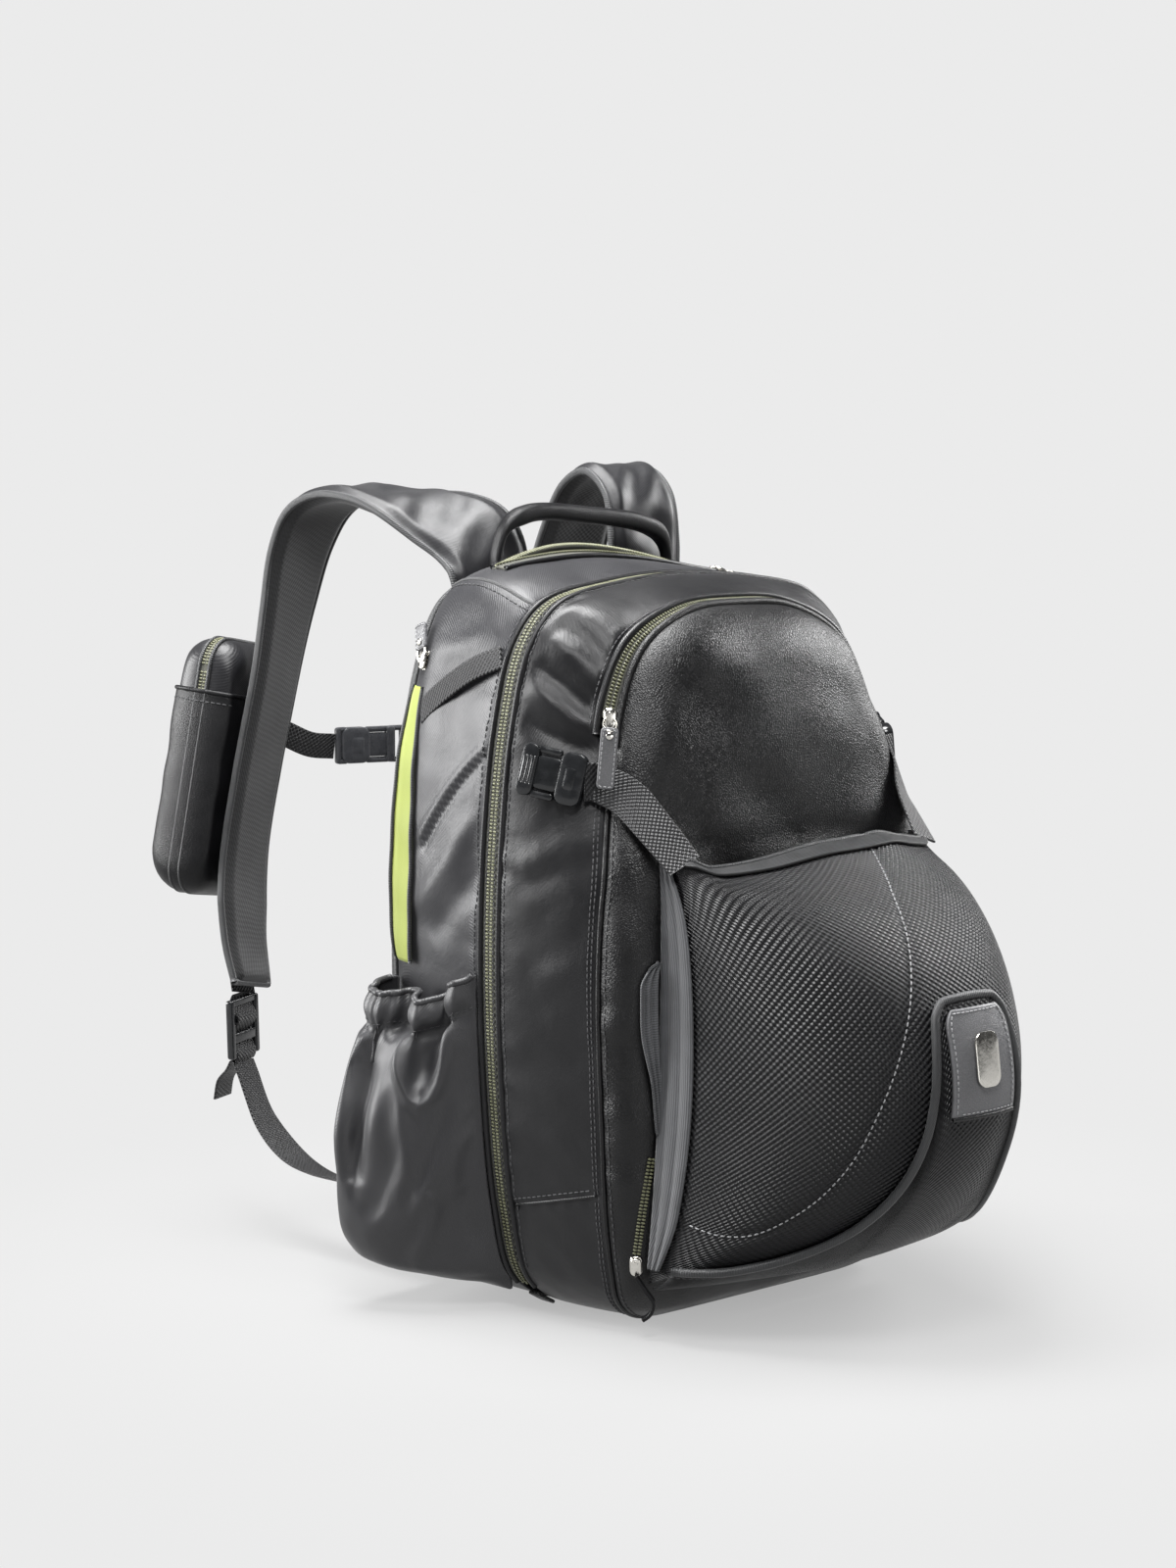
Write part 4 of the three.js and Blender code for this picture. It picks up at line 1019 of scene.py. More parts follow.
@dataclass(frozen=True)
class ZipRun:
    """A coil zip along a path: the two fine rows of its coil stand up in the middle of its tape."""

    pitch: float = 2.3  # the real coil is finer; drawn coarser so that it shows
    tooth: float = 2.4
    radius: float = 0.75
    gap: float = 3.8

    def tape(self, node: str, grid: Array, wall: float, inside: Any, wrap: bool = False) -> None:
        """The tape, ribbed across the zip, which stands for a solid."""
        cloth = woven(grid, wrap)
        cloth.cloth = cloth.cloth[..., ::-1]
        piece(f"{node}_tape", cloth, ZIP_TAPE, [node], wall, inside=inside)

    def coil(self, name: str, path: Array, out: Array) -> None:
        """The coil's turns along a path on the tape."""
        at, along, outward = paced(path, out, self.pitch)
        teeth = spindle(self.tooth, self.radius, 6)
        across = np.cross(outward, along)
        slant = unit(across + 0.16 * along)
        rows = [scattered(teeth, at + across * edge * self.gap / 2, slant, np.cross(outward, slant), outward)
                for edge in (-1, 1)]
        piece(name, joined(rows), ZIP_COIL)


@dataclass(frozen=True)
class Shell:
    """The body's cloth: the nylon gussets, the leather front, the padded back and their seams."""

    form: BodyForm = FORM
    columns: int = 360
    wall: float = 2.2
    zip_reach: tuple[float, float] = (0.098, 0.902)
    front_reach: float = 0.118
    mouth_x: tuple[float, float] = (-98.0, 88.0)
    mouth_y: float = 62.0
    mouth_half: float = 8.0
    mouth_row: int = 23
    front_middle: tuple[float, float, float] = (0.0, -30.0, 225.0)
    pad_middle: float = 234.5
    pad_edge: float = 0.951
    side_folds: tuple[Crease, ...] = (
        Crease(((-3, 366), (19, 349), (44, 321), (62, 298)), -2.4, 2.0, False),
        Crease(((-1, 371), (22, 354), (47, 327), (66, 303)), 1.8, 3.2, False),
        Crease(((8, 330), (40, 285), (70, 255)), 2.2, 9.0),
        Crease(((5, 290), (30, 262), (52, 240)), -2.0, 9.0),
        Crease(((20, 440), (50, 425), (80, 420)), 1.6, 7.0),
    )
    front_folds: tuple[Crease, ...] = (
        Crease(((-22, 457), (-45, 441), (-70, 402)), 3.4, 6.5),
        Crease(((-24, 446), (-46, 428), (-68, 398)), -3.0, 5.0),
        Crease(((-26, 434), (-48, 417), (-68, 394)), 3.2, 6.0),
        Crease(((-22, 419), (-44, 402), (-64, 384)), -2.6, 5.0),
        Crease(((-22, 406), (-40, 393), (-62, 374)), 3.0, 6.0),
        Crease(((-22, 384), (-44, 374), (-66, 364)), -2.2, 6.0),
        Crease(((-30, 294), (-60, 308), (-88, 320)), 1.2, 9.0),
        Crease(((-26, 282), (-58, 292), (-86, 303)), -1.0, 8.0),
        Crease(((-44, 222), (-66, 231), (-88, 240)), 1.0, 9.0),
        Crease(((-24, 160), (-60, 174), (-88, 170)), -1.0, 10.0),
    )

    def on_base(self, s: Array) -> Array:
        """1 along the base, where the main zip stops, and 0 elsewhere."""
        return 1 - smooth(np.minimum(s, 1 - s), 0.07, 0.082)

    def gusset_edge(self, s: Array) -> Array:
        """Where the front gusset's cloth stops, short of the zip over the top."""
        return 0.98 - 0.146 * (1 - smooth(np.abs(s - 0.5), self.front_reach, self.front_reach + 0.02))

    def bow(self, x: Array) -> Array:
        """Half the width of the top opening at each place along it."""
        low, high = self.mouth_x
        share = (x - (low + high) / 2) / ((high - low) / 2)
        return self.mouth_half * np.clip(1 - share**2, 0, None)

    @cached_property
    def rear_surface(self) -> Surface:
        """The rear gusset with its folds."""
        def relief(p: Array, s: Array, y: Array) -> Array:
            """Folds on the left side, and puckers beside the zip."""
            sides = smooth(np.abs(p[..., 0]), 90, 140) * smooth(p[..., 2], 8, 40)
            left = sides * (p[..., 0] < 0)
            height = 1.3 * rumple(p, 90, 3) * sides + 0.35 * rumple(p, 34, 4) * smooth(p[..., 2], 4, 30)
            height += left * sum(fold.relief(p[..., 1:]) for fold in self.side_folds)
            around = rumple(s[..., None] * 1500, 15, 5)
            height += 0.5 * around * np.exp(-np.abs(y - 8) / 7) * smooth(p[..., 2], 10, 40)
            return height * smooth(y, 3, 9) * (1 - smooth(y, 88, 97))
        return Surface(self.form.rear, self.form.middle, relief)

    @cached_property
    def gusset_surface(self) -> Surface:
        """The front gusset with the folds that its straps pull into it."""
        def relief(p: Array, s: Array, t: Array) -> Array:
            """Folds on the left side, puckers beside the zip, and the seam above the base."""
            sides = smooth(np.abs(p[..., 0]), 70, 115) * smooth(p[..., 2], 8, 40)
            left = sides * (p[..., 0] < 0)
            height = 0.6 * rumple(p, 80, 7) * sides + 0.25 * rumple(p, 26, 8) * smooth(p[..., 2], 4, 30)
            height += left * sum(fold.relief(p[..., 1:]) for fold in self.front_folds)
            pull = rumple(s[..., None] * 1450, 13, 9)
            height += 0.5 * pull * np.exp(-t / 0.09) * smooth(p[..., 2], 10, 40)
            seam = Crease(((-15, 74), (-50, 81), (-95, 92)), -1.5, 1.4, False).relief(p[..., 1:])
            height += sides * seam
            edge = self.gusset_edge(s)
            return height * smooth(t, 0.0, 0.08) * (1 - smooth(t, edge - 0.07, edge))
        return Surface(self.form.gusset, self.form.middle, relief)

    @cached_property
    def front_surface(self) -> Surface:
        """The leather front with the ruching down its sides."""
        def relief(p: Array, s: Array, r: Array) -> Array:
            """Ruching in the side strips and a soft unevenness."""
            strip = smooth(r, 0.62, 0.78) * (1 - smooth(r, 0.965, 1.0))
            down = smooth(p[..., 2], 45, 80) * (1 - smooth(p[..., 2], 210, 260))
            ruck = rumple(np.stack([p[..., 2], 0.35 * p[..., 1]], -1), 26, 11)
            height = 0.7 * ruck * strip * down * smooth(np.abs(p[..., 0]), 80, 110)
            broad = rumple(p, 60, 12) * smooth(p[..., 2], 10, 60)
            return height + 0.8 * broad * smooth(r, 0.02, 0.2) * (1 - smooth(r, 0.9, 1.0))
        return Surface(self.form.front, self.front_middle, relief, 2e-3)

    def around(self) -> Array:
        """Even shares round the bag, one for each column of cloth."""
        return np.arange(self.columns) / self.columns

    def rear_gusset(self) -> None:
        """The nylon behind the main zip, open at the top between the lips of its zip."""
        s, form = self.around(), self.form
        start = lerp(form.zip_back, form.zip_front + 0.5, self.on_base(s))
        x, z = form.edge(form.zip_line, s)
        gape = np.where(z > 400, self.bow(x), 0.0)
        ahead = lerp(start, self.mouth_y - gape, np.linspace(0, 1, self.mouth_row + 1)[:, None])
        behind = lerp(self.mouth_y + gape, form.back, np.linspace(0, 1, 14)[:, None])
        y = np.concatenate([ahead, behind])
        shape = woven(self.rear_surface.at(np.broadcast_to(s, y.shape), y), wrap=True)
        row = np.arange(len(shape.quads)) // self.columns
        kept = row != self.mouth_row
        shape = Shape(shape.vertices, shape.quads[kept], shape.cloth[kept])
        weld = np.arange(len(shape.vertices))
        closed = np.flatnonzero(gape <= 0)
        weld[(self.mouth_row + 1) * self.columns + closed] = self.mouth_row * self.columns + closed
        shape.quads = weld[shape.quads]
        # The side nylon's paler tone is painted light on the bag's sides and top.
        piece("rear_gusset_cloth", shape, LIT_SIDE_NYLON, ["rear_gusset"], self.wall, inside=form.middle)

    def front_gusset(self) -> None:
        """The nylon between the main zip and the leather front."""
        s = np.broadcast_to(self.around(), (34, self.columns))
        t = lerp(self.gusset_edge(s), 0.015, np.linspace(0, 1, 34)[:, None])
        shape = woven(self.gusset_surface.at(s, t), wrap=True)
        piece("front_gusset_cloth", shape, NYLON, ["front_gusset"], self.wall, inside=self.form.middle)

    def front_panel(self) -> None:
        """The leather front, padded above the pouch."""
        s = np.broadcast_to(self.around(), (64, self.columns))
        r = np.linspace(0.004, 1, 64)[:, None] + 0 * s
        shape = woven(self.front_surface.at(s, r), wrap=True)
        shape.caps = [list(range(self.columns))]
        piece("front_panel_leather", shape, LEATHER, ["front_panel"], self.wall, inside=self.front_middle)

    def back_panel(self) -> None:
        """The padded back: channels divide it into pads."""
        form = self.form
        share = np.concatenate([np.linspace(0.004, 0.9, 46), [0.915, 0.93, 0.942, 0.949, 0.951, 0.946]])
        depth = np.concatenate([np.full(46, 110.0), [110, 109, 107, 104.5, 102, 97.5]])
        x, z = form.edge(form.zip_line, self.around())
        z = lerp(self.pad_middle, form.top(x, z, form.back), share[:, None] / form.wide(form.back))
        x = x * share[:, None]
        flat = np.stack([x, z], -1)
        channels = [((-52, 20), (-48, 235), (-52, 450)), ((52, 20), (48, 235), (52, 450)),
                    ((-150, 150), (0, 142), (150, 150)), ((-150, 320), (0, 328), (150, 320))]
        dip = sum(Crease(route, -4.0, 7.0, False).relief(flat) for route in channels)
        y = depth[:, None] + np.maximum(dip, -5.0) * (share[:, None] < 0.93)
        shape = woven(np.stack([x, y, z], -1), wrap=True)
        shape.cloth = flat.reshape(-1, 2)[shape.quads] * MM
        last = (len(share) - 1) * self.columns
        shape.caps = [list(range(self.columns)), list(range(last, last + self.columns))[::-1]]
        made = piece("back_panel_pad", shape, SPACER, ["back_panel"], inside=(0, 103, 234))
        x, z = form.edge(form.zip_line, np.linspace(0, 1, 361))
        high = lerp(self.pad_middle, form.top(x, z, form.back), self.pad_edge / form.wide(form.back))
        rim = np.stack([x * self.pad_edge, np.full(361, 99.2), high], -1)
        rim[:, 2] = np.maximum(rim[:, 2], 2.0)
        piece("back_panel_binding", tube(rim[:-1], 2.0, 10, loop=True), DARK_BINDING)

    def main_zip(self) -> None:
        """The main zip from base to base over the top, between two rolled hems."""
        form = self.form
        s = np.linspace(*self.zip_reach, 420)
        across = np.linspace(form.zip_front + 0.5, form.zip_back - 0.5, 9)
        plain = Surface(form.rear, form.middle)
        ZipRun().tape("main_zip", plain.at(s[None], across[:, None], -0.6), 1.8, form.middle)
        ZipRun().coil("main_zip_coil", *plain.trace(s, -5.0, 0.2))
        for name, y, off in (("rear", 3.6, 0.2), ("front", -13.8, 0.0)):
            path = plain.at(s, y, off)
            path[:, 2] = np.maximum(path[:, 2], 1.9)
            piece(f"main_zip_hem_{name}", tube(path, 1.9, 10), NYLON)
        for name, y in (("rear", 9.0), ("front", -9.2), ("tape", -0.8)):
            surface = self.rear_surface if name == "rear" else plain
            stitch_row(f"main_zip_stitch_{name}", surface, s[6:-6], y, 0.1, ZIP_STITCH)
        stitch_row("main_zip_stitch_gusset", self.gusset_surface, s[6:-6], 0.075, 0.1, ZIP_STITCH)
        for side in Side:
            seat = Seat.of(f"zip_end_{side.word}", (1, 0, 0.3), (side.value * 0.6, 0, -1))
            tab = slab(rounded(15, 14, 3), 2.2, 0.7)
            piece(f"zip_end_tab_{side.word}", seat.lay(tab, z=-1.1), WEBBING, [f"zip_end_{side.word}"])

    def front_zip(self) -> None:
        """The front pocket's zip, in a channel between a rolled leather edge and a rolled nylon one."""
        form, reach = self.form, self.front_reach - 0.004
        s = np.linspace(0.5 - reach, 0.5 + reach, 240)
        plain = Surface(form.gusset, form.middle)
        t = np.linspace(0.985, 0.868, 7)
        run = ZipRun(gap=3.2)
        run.tape("front_zip", plain.at(s[None], t[:, None], -0.8), 1.6, form.middle)
        run.coil("front_zip_coil", *plain.trace(s, 0.925))
        long = np.linspace(0.5 - reach - 0.01, 0.5 + reach + 0.01, 260)
        piece("front_zip_leather_roll", tube(self.front_surface.at(long, 0.985, 0.5), 2.7, 12), LEATHER)
        piece("front_zip_nylon_roll", tube(plain.at(long, 0.852, 0.3), 2.3, 12), NYLON)
        stitch_row("front_zip_stitch", self.gusset_surface, long, 0.80, 0.1)

    def seams(self) -> None:
        """The top-stitched seams beside the leather front, and those across the gusset above the base."""
        for side in Side:
            low, high = 0.03, 0.5 - self.front_reach - 0.006
            s = np.linspace(low, high, 240)
            s = s if side is Side.RIGHT else 1 - s
            path = self.form.gusset(s, np.full(240, 0.985))
            path[:, 2] = np.maximum(path[:, 2], 1.6)
            piece(f"front_seam_{side.word}", tube(path, 1.6, 10), LEATHER)
            for row, t in enumerate((0.93, 0.90)):
                stitch_row(f"front_seam_stitch_{side.word}_{row}", self.gusset_surface, s[30:], t)
            stitch_row(f"leather_stitch_{side.word}", self.front_surface, s[30:], 0.955, 0.15, LEATHER_STITCH)
            t = np.linspace(0.05, 0.9, 48)
            level, above = (np.array([self.form.seam_at(side, z, k) for z, k in zip(lerp(74, 91, t) + up, t)])
                            for up in (0, 4))
            piece(f"base_seam_{side.word}", tube(self.gusset_surface.at(level, t, 0.2), 1.1, 8), NYLON)
            stitch_row(f"base_seam_stitch_{side.word}", self.gusset_surface, above, t)

    def shoulder_seams(self) -> None:
        """The piped seams between the top of the rear gusset and its sides."""
        y = np.linspace(6, 90, 60)
        for side in Side:
            s = 0.5 - 0.081 * side.value
            path = self.rear_surface.at(s, y, -0.2)
            piece(f"shoulder_piping_{side.word}", tube(path, 1.3, 8), DARK_BINDING)
            stitch_row(f"shoulder_stitch_{side.word}", self.rear_surface, s - 0.004 * side.value, y)

    def ridge(self, x: Array, y: Array) -> Array:
        """Heights of the rear gusset's top at places along the opening."""
        s = np.linspace(0.36, 0.64, 90)
        rows = [self.form.rear(s, np.full(90, v)) for v in y]
        return np.array([np.interp(-k, -row[:, 0], row[:, 2]) for k, row in zip(x, rows)])

    def top_opening(self) -> None:
        """The top opening's zip: the rear lip stands up and the front one lies flat."""
        x = np.linspace(*self.mouth_x, 120)
        open_share = self.bow(x) / self.mouth_half
        for name, sign in (("rear", 1), ("front", -1)):
            rows = []
            for r in np.linspace(0, 1, 9):
                y = self.mouth_y + sign * (self.bow(x) + 9 * r * (0.45 if sign > 0 else 1.0))
                rise = 6 * open_share * (1 - r) ** 0.8 if sign > 0 else 1.4 * (1 - r)
                rows.append(np.stack([x, y, self.ridge(x, y) + 0.6 + rise], -1))
            grid, run = np.array(rows), ZipRun(gap=1.6)
            run.tape(f"top_zip_{name}", grid, 1.6, (-5, 62, 440))
            run.coil(f"top_zip_{name}_coil", grid[0] + np.array([0, 0, 0.5]), np.array([0, -0.3 * sign, 1.0]))
            piece(f"top_zip_{name}_roll", tube(grid[-1] + np.array([0, 0, 0.4]), 1.7, 10), NYLON)

    def build(self) -> None:
        """Makes the body's pieces."""
        self.rear_gusset()
        self.front_gusset()
        self.front_panel()
        self.back_panel()
        self.main_zip()
        self.front_zip()
        self.seams()
        self.shoulder_seams()
        self.top_opening()


# Harness


def strip(path: Array, across: Array, wide: float, thick: float = 1.8) -> Shape:
    """A length of webbing along a path, with softly rounded edges."""
    return swept(path, pillow(wide / 2, thick / 2, 20, 0.12, 0.6), across)


@dataclass(frozen=True)
class ShoulderStrap:
    """A padded shoulder strap: satin nylon outside, spacer mesh against the shoulder, bound edges."""

    side: Side
    route: Route
    thick: float = 12.0
    root_wide: float = 62.0
    end_wide: float = 54.0
    turn: float = 0.4
    roll: float = 0.0

    @cached_property
    def line(self) -> Spline:
        """The strap's centre line, from its root on the back to its free end."""
        return Spline(self.route)

    def across(self, t: Array) -> Array:
        """The direction of the strap's width, which turns outwards as the strap falls."""
        angle = self.turn * smooth(t, 0.3, 0.62)
        drop = self.roll * smooth(t, 0.03, 0.12) * (1 - smooth(t, 0.11, 0.28))
        return np.stack([np.cos(angle), -self.side.value * np.sin(angle), -self.side.value * drop], -1)

    def width(self, t: Array) -> Array:
        """The strap's width, which narrows at both ends."""
        ends = np.minimum(1, 0.74 + 2.4 * np.minimum(t + 0.03, 1.005 - t))
        return lerp(self.root_wide, self.end_wide, t) * ends

    def frame(self, t: Any) -> tuple[Array, Array, Array, Array]:
        """Points, directions of travel, width and outward at shares of the strap's length."""
        t = np.asarray(t, float)
        along = self.line.along(t)
        wide = square_to(along, self.across(t))
        out = np.cross(wide, along)
        return self.line.at(t), along, wide, np.where(out[..., 1:2] < 0, -out, out)

    def share_at(self, z: float) -> float:
        """Where the falling part of the strap passes a height."""
        t = np.linspace(0.3, 1, 700)
        return float(np.interp(-z, -self.line.at(t)[:, 2], t))

    def build(self) -> None:
        """Makes the strap's two faces and its edges."""
        t = np.linspace(0, 1, 220)
        path = self.line.at(t)
        along = unit(np.gradient(path, axis=0))
        wide = square_to(along, self.across(t))
        out = np.cross(along, wide)
        half = self.width(t) / 2
        end = np.clip(np.minimum(t, 1 - t) / 0.012, 0, 1)
        depth = self.thick / 2 * (0.35 + 0.65 * np.sqrt(1 - (1 - end) ** 2))
        a = np.sin(np.linspace(-math.pi / 2, math.pi / 2, 41))
        swell = 0.28 + 0.72 * (1 - smooth(np.abs(a), 0.72, 1.0))
        ripple, bend = rumple(path, 46, 21) * 0.4, smooth(t, 0.04, 0.1) * (1 - smooth(t, 0.24, 0.4))
        names = {1: ("lining", SPACER), -1: ("face", STRAP_CLOTH)}
        for face, (name, finish) in names.items():
            flat = path[:, None] + half[:, None, None] * a[:, None] * wide[:, None]
            rucks = (ripple[:, None] + 1.6 * rumple(flat, 30, 22) * bend[:, None]) * (1 - a**2)
            points = flat + (face * depth[:, None] * swell + rucks)[..., None] * out[:, None]
            nodes = [f"shoulder_strap_{self.side.word}"] if face < 0 else []
            made = piece(f"shoulder_strap_{name}_{self.side.word}", woven(points), finish, nodes, inside=None)
            self.orient(made, face * out)
        for letter, edge in (("a", -1), ("b", 1)):
            line = path + edge * half[:, None] * wide
            piece(f"shoulder_strap_edge_{self.side.word}_{letter}",
                  swept(line, pillow(1.6, 2.6, 12, 0.8, 0.8), wide), DARK_BINDING)
            inset = path + edge * (half - 5.5)[:, None] * wide - (depth * 0.55 + 0.4)[:, None] * out
            piece(f"shoulder_strap_stitch_{self.side.word}_{letter}",
                  stitched(inset[6:-6], -out[6:-6], STRAP_STITCH), THREAD)
        for name, i in (("root", 0), ("end", -1)):
            line = path[i] + np.linspace(-1, 1, 24)[:, None] * half[i] * wide[i]
            piece(f"shoulder_strap_{name}_{self.side.word}",
                  swept(line, pillow(2.4, 2.6, 12, 0.8, 0.8), along[i]), DARK_BINDING)

    @staticmethod
    def orient(made: bpy.types.Object, out: Array) -> None:
        """Turns an open face's polygons to the side that shows."""
        facing = np.array(made.data.polygons[len(made.data.polygons) // 2].normal)
        if facing @ out[len(out) // 2] < 0:
            made.data.flip_normals()


@dataclass(frozen=True)
class Harness:
    """Both shoulder straps with their webbing, ladder locks, chest strap and handle."""

    left: ShoulderStrap = ShoulderStrap(Side.LEFT, (
        (-57, 117, 424), (-57, 118, 455), (-58, 121, 476), (-61, 131, 491), (-67, 153, 502), (-75, 186, 512),
        (-83, 236, 517), (-87, 267, 505), (-91, 283, 480), (-97, 292, 438), (-107, 297, 383),
        (-120, 301, 322), (-131, 303, 262), (-139, 294, 211), (-142, 282, 178)), roll=0.68)
    right: ShoulderStrap = ShoulderStrap(Side.RIGHT, (
        (78, 117, 424), (80, 118, 452), (84, 121, 485), (87, 131, 517), (88, 153, 532), (89, 179, 522),
        (92, 203, 490), (98, 226, 442), (108, 247, 380), (122, 259, 308), (134, 262, 240), (141, 256, 184)))
    web_wide: float = 25.0
    web_thick: float = 1.8
    lock_long: float = 42.0
    anchor: tuple[float, float, float] = (134.0, 111.4, 60.0)
    chest_z: tuple[float, float] = (352.0, 348.0)
    handle_route: Route = (
        (-64, 104, 467.6), (-63, 104, 480), (-56, 103, 497), (-36, 102, 506), (16, 101, 503.5),
        (60, 101, 498), (80, 102, 490), (88, 103, 476), (89, 104, 452.6))

    def ladder_lock(self, node: str, out: Array) -> None:
        """A ladder-lock buckle: two rails and four bars."""
        seat = Seat.of(node, (0, 0.06, -1), out)
        rows = [(5.2, 42, 2.2, 5, x, 0) for x in (-15.4, 15.4)]
        rows += [(33, tall, 1.8, 4.2, 0, y) for y, tall in ((18.6, 4.8), (6.5, 7), (-6.5, 7), (-18.6, 4.8))]
        piece(f"{node}_moulding", moulded(seat, rows), RESIN, [node], sharp=40)

    def hardware(self, strap: ShoulderStrap) -> None:
        """The webbing sewn on a strap, its ladder lock, and the webbing back to the bag."""
        side, sign = strap.side.word, strap.side.value
        t = np.array([0.72, 0.79, 0.86, 0.93, 0.995])
        at, _, _, outward = strap.frame(t)
        offset = strap.thick / 2 + self.web_thick / 2 + 0.5
        end_at, end_along, _, end_out = strap.frame(1.0)
        top = end_at + end_out * offset + end_along * 5
        turn = strap.across(np.array(1.0))
        sewn = Spline([*(at + outward * offset), top])
        share = np.linspace(0, 1, 90)
        cloth = strip(sewn.at(share), turn, self.web_wide + 2, self.web_thick)
        piece(f"strap_webbing_{side}_weave", cloth, WEBBING, [f"strap_webbing_{side}"])
        facing = np.array([-turn[1], turn[0], 0])
        self.ladder_lock(f"strap_buckle_{side}", facing)

        down = unit(np.array([0, 0.06, -1.0]))
        centre = top + down * (self.lock_long / 2 + 3.4)
        low = centre + down * (self.lock_long / 2 + 2.8)
        anchor = np.array(self.anchor) * (sign, 1, 1)
        bends = ((0.03, low[2] - 9), (0.13, 84), (0.3, 62), (0.48, 54), (0.7, 55), (0.97, 60))
        route = [low] + [np.array([*lerp(low, anchor, k)[:2], z]) for k, z in bends] + [anchor + (0, 0, 28)]
        lower = Spline(route)
        share = np.linspace(0, 1, 160)
        swing = lerp(turn, np.array([1.0, 0, 0]), smooth(share, 0.1, 0.7)[:, None])
        free = smooth(share, 0.05, 0.3) * (1 - smooth(share, 0.85, 1))
        twist = 0.22 * np.sin(share * 2 * math.pi * 1.4) * free
        swing = swing + twist[:, None] * np.array([0, 0.6, 1.0])
        cloth = strip(lower.at(share), swing, self.web_wide, self.web_thick)
        hung = piece(f"lower_webbing_{side}_weave", cloth, WEBBING, [f"lower_webbing_{side}"])
        path = lower.at(share) * MM
        loops = np.array([centre + down * d for d in np.linspace(-24, 24, 60)])
        wave = 3.2 * np.sin(np.linspace(-1, 1, 60) * math.pi * 1.85)
        threaded = strip(loops + wave[:, None] * facing, turn, 24, 1.6)
        piece(f"strap_lock_webbing_{side}", threaded, WEBBING)
        if strap.side is Side.LEFT:
            tail = Spline([low + step for step in ((0, 3.8, 1), (0, 10, -7), (-1, 20, -17), (-2, 23, -30))])
            cloth = strip(tail.at(np.linspace(0, 1, 40)), turn, self.web_wide - 3, self.web_thick)
            piece("webbing_tail_weave", cloth, WEBBING, ["webbing_tail"])

    def sternum(self) -> None:
        """The chest strap and its buckle."""
        a, _, wide_a, _ = self.left.frame(self.left.share_at(self.chest_z[0]))
        b, _, wide_b, _ = self.right.frame(self.right.share_at(self.chest_z[1]))
        start, end = a + wide_a * 30.5, b - wide_b * 31
        span = unit(end - start)
        centre = lerp(start, end, 0.36) + (0, 0, -10)
        reach = 28.0
        for name, p, q in (("left", start, centre - span * reach), ("right", centre + span * reach, end)):
            route = Spline([p, lerp(p, q, 0.5) + (0, 0, -3), q]).at(np.linspace(0, 1, 60))
            cloth = strip(route, np.array([0, 0, 1.0]), 18, self.web_thick)
            piece(f"sternum_strap_{name}_weave", cloth, WEBBING, [f"sternum_strap_{name}"])
        seat = Seat.of("sternum_buckle", span, np.cross(span, (0, 0, 1.0)))
        rows = [(26, 22, 6, 7, 0, -12), (17, 16, 3, 5, 0, 5), (26, 7, 2.4, 7, 0, 15), (14, 12, 3, 8, 0, -11)]
        rows += [(4, 18, 1.8, 4.6, x, 5) for x in (-11, 11)]
        rows += [(26, 4.2, 2, 4.4, 0, y) for y in (-25, 24.6)]
        rows += [(3.6, tall, 1.6, 4.4, x, y) for tall, y in ((12, 20), (8, -22)) for x in (-11.4, 11.4)]
        piece("sternum_buckle_moulding", moulded(seat, rows), GREY_RESIN, ["sternum_buckle"], sharp=40)

    def handle(self) -> None:
        """The rolled leather handle, whose sewn ends are flat."""
        t = np.linspace(0, 1, 160)
        path = Spline(self.handle_route).at(t)
        grip = smooth(np.minimum(t, 1 - t), 0.1, 0.22)
        ring = pillow(1, 1, 28, 0.75, 0.75)
        size = np.stack([lerp(10, 15, grip), lerp(5, 12, grip)], -1) / 2
        shape = swept(path, ring[None] * size[:, None], np.array([0, 1.0, 0]))
        made = piece("handle_leather", shape, SMOOTH_LEATHER, ["handle"])
        along = unit(np.gradient(path, axis=0))
        out = np.cross(along, np.array([0, 1.0, 0]))
        below = np.where(out[:, 2:] < 0, out, -out)
        under = (path + np.array([0, -6.2, 0]) + 3.2 * below)[36:-36]
        piece("handle_stitch", stitched(under, np.array([0, -1.0, -0.5]), ZIP_STITCH), THREAD)

    def build(self) -> None:
        """Makes the harness."""
        for strap in (self.left, self.right):
            strap.build()
            self.hardware(strap)
        self.sternum()
        self.handle()


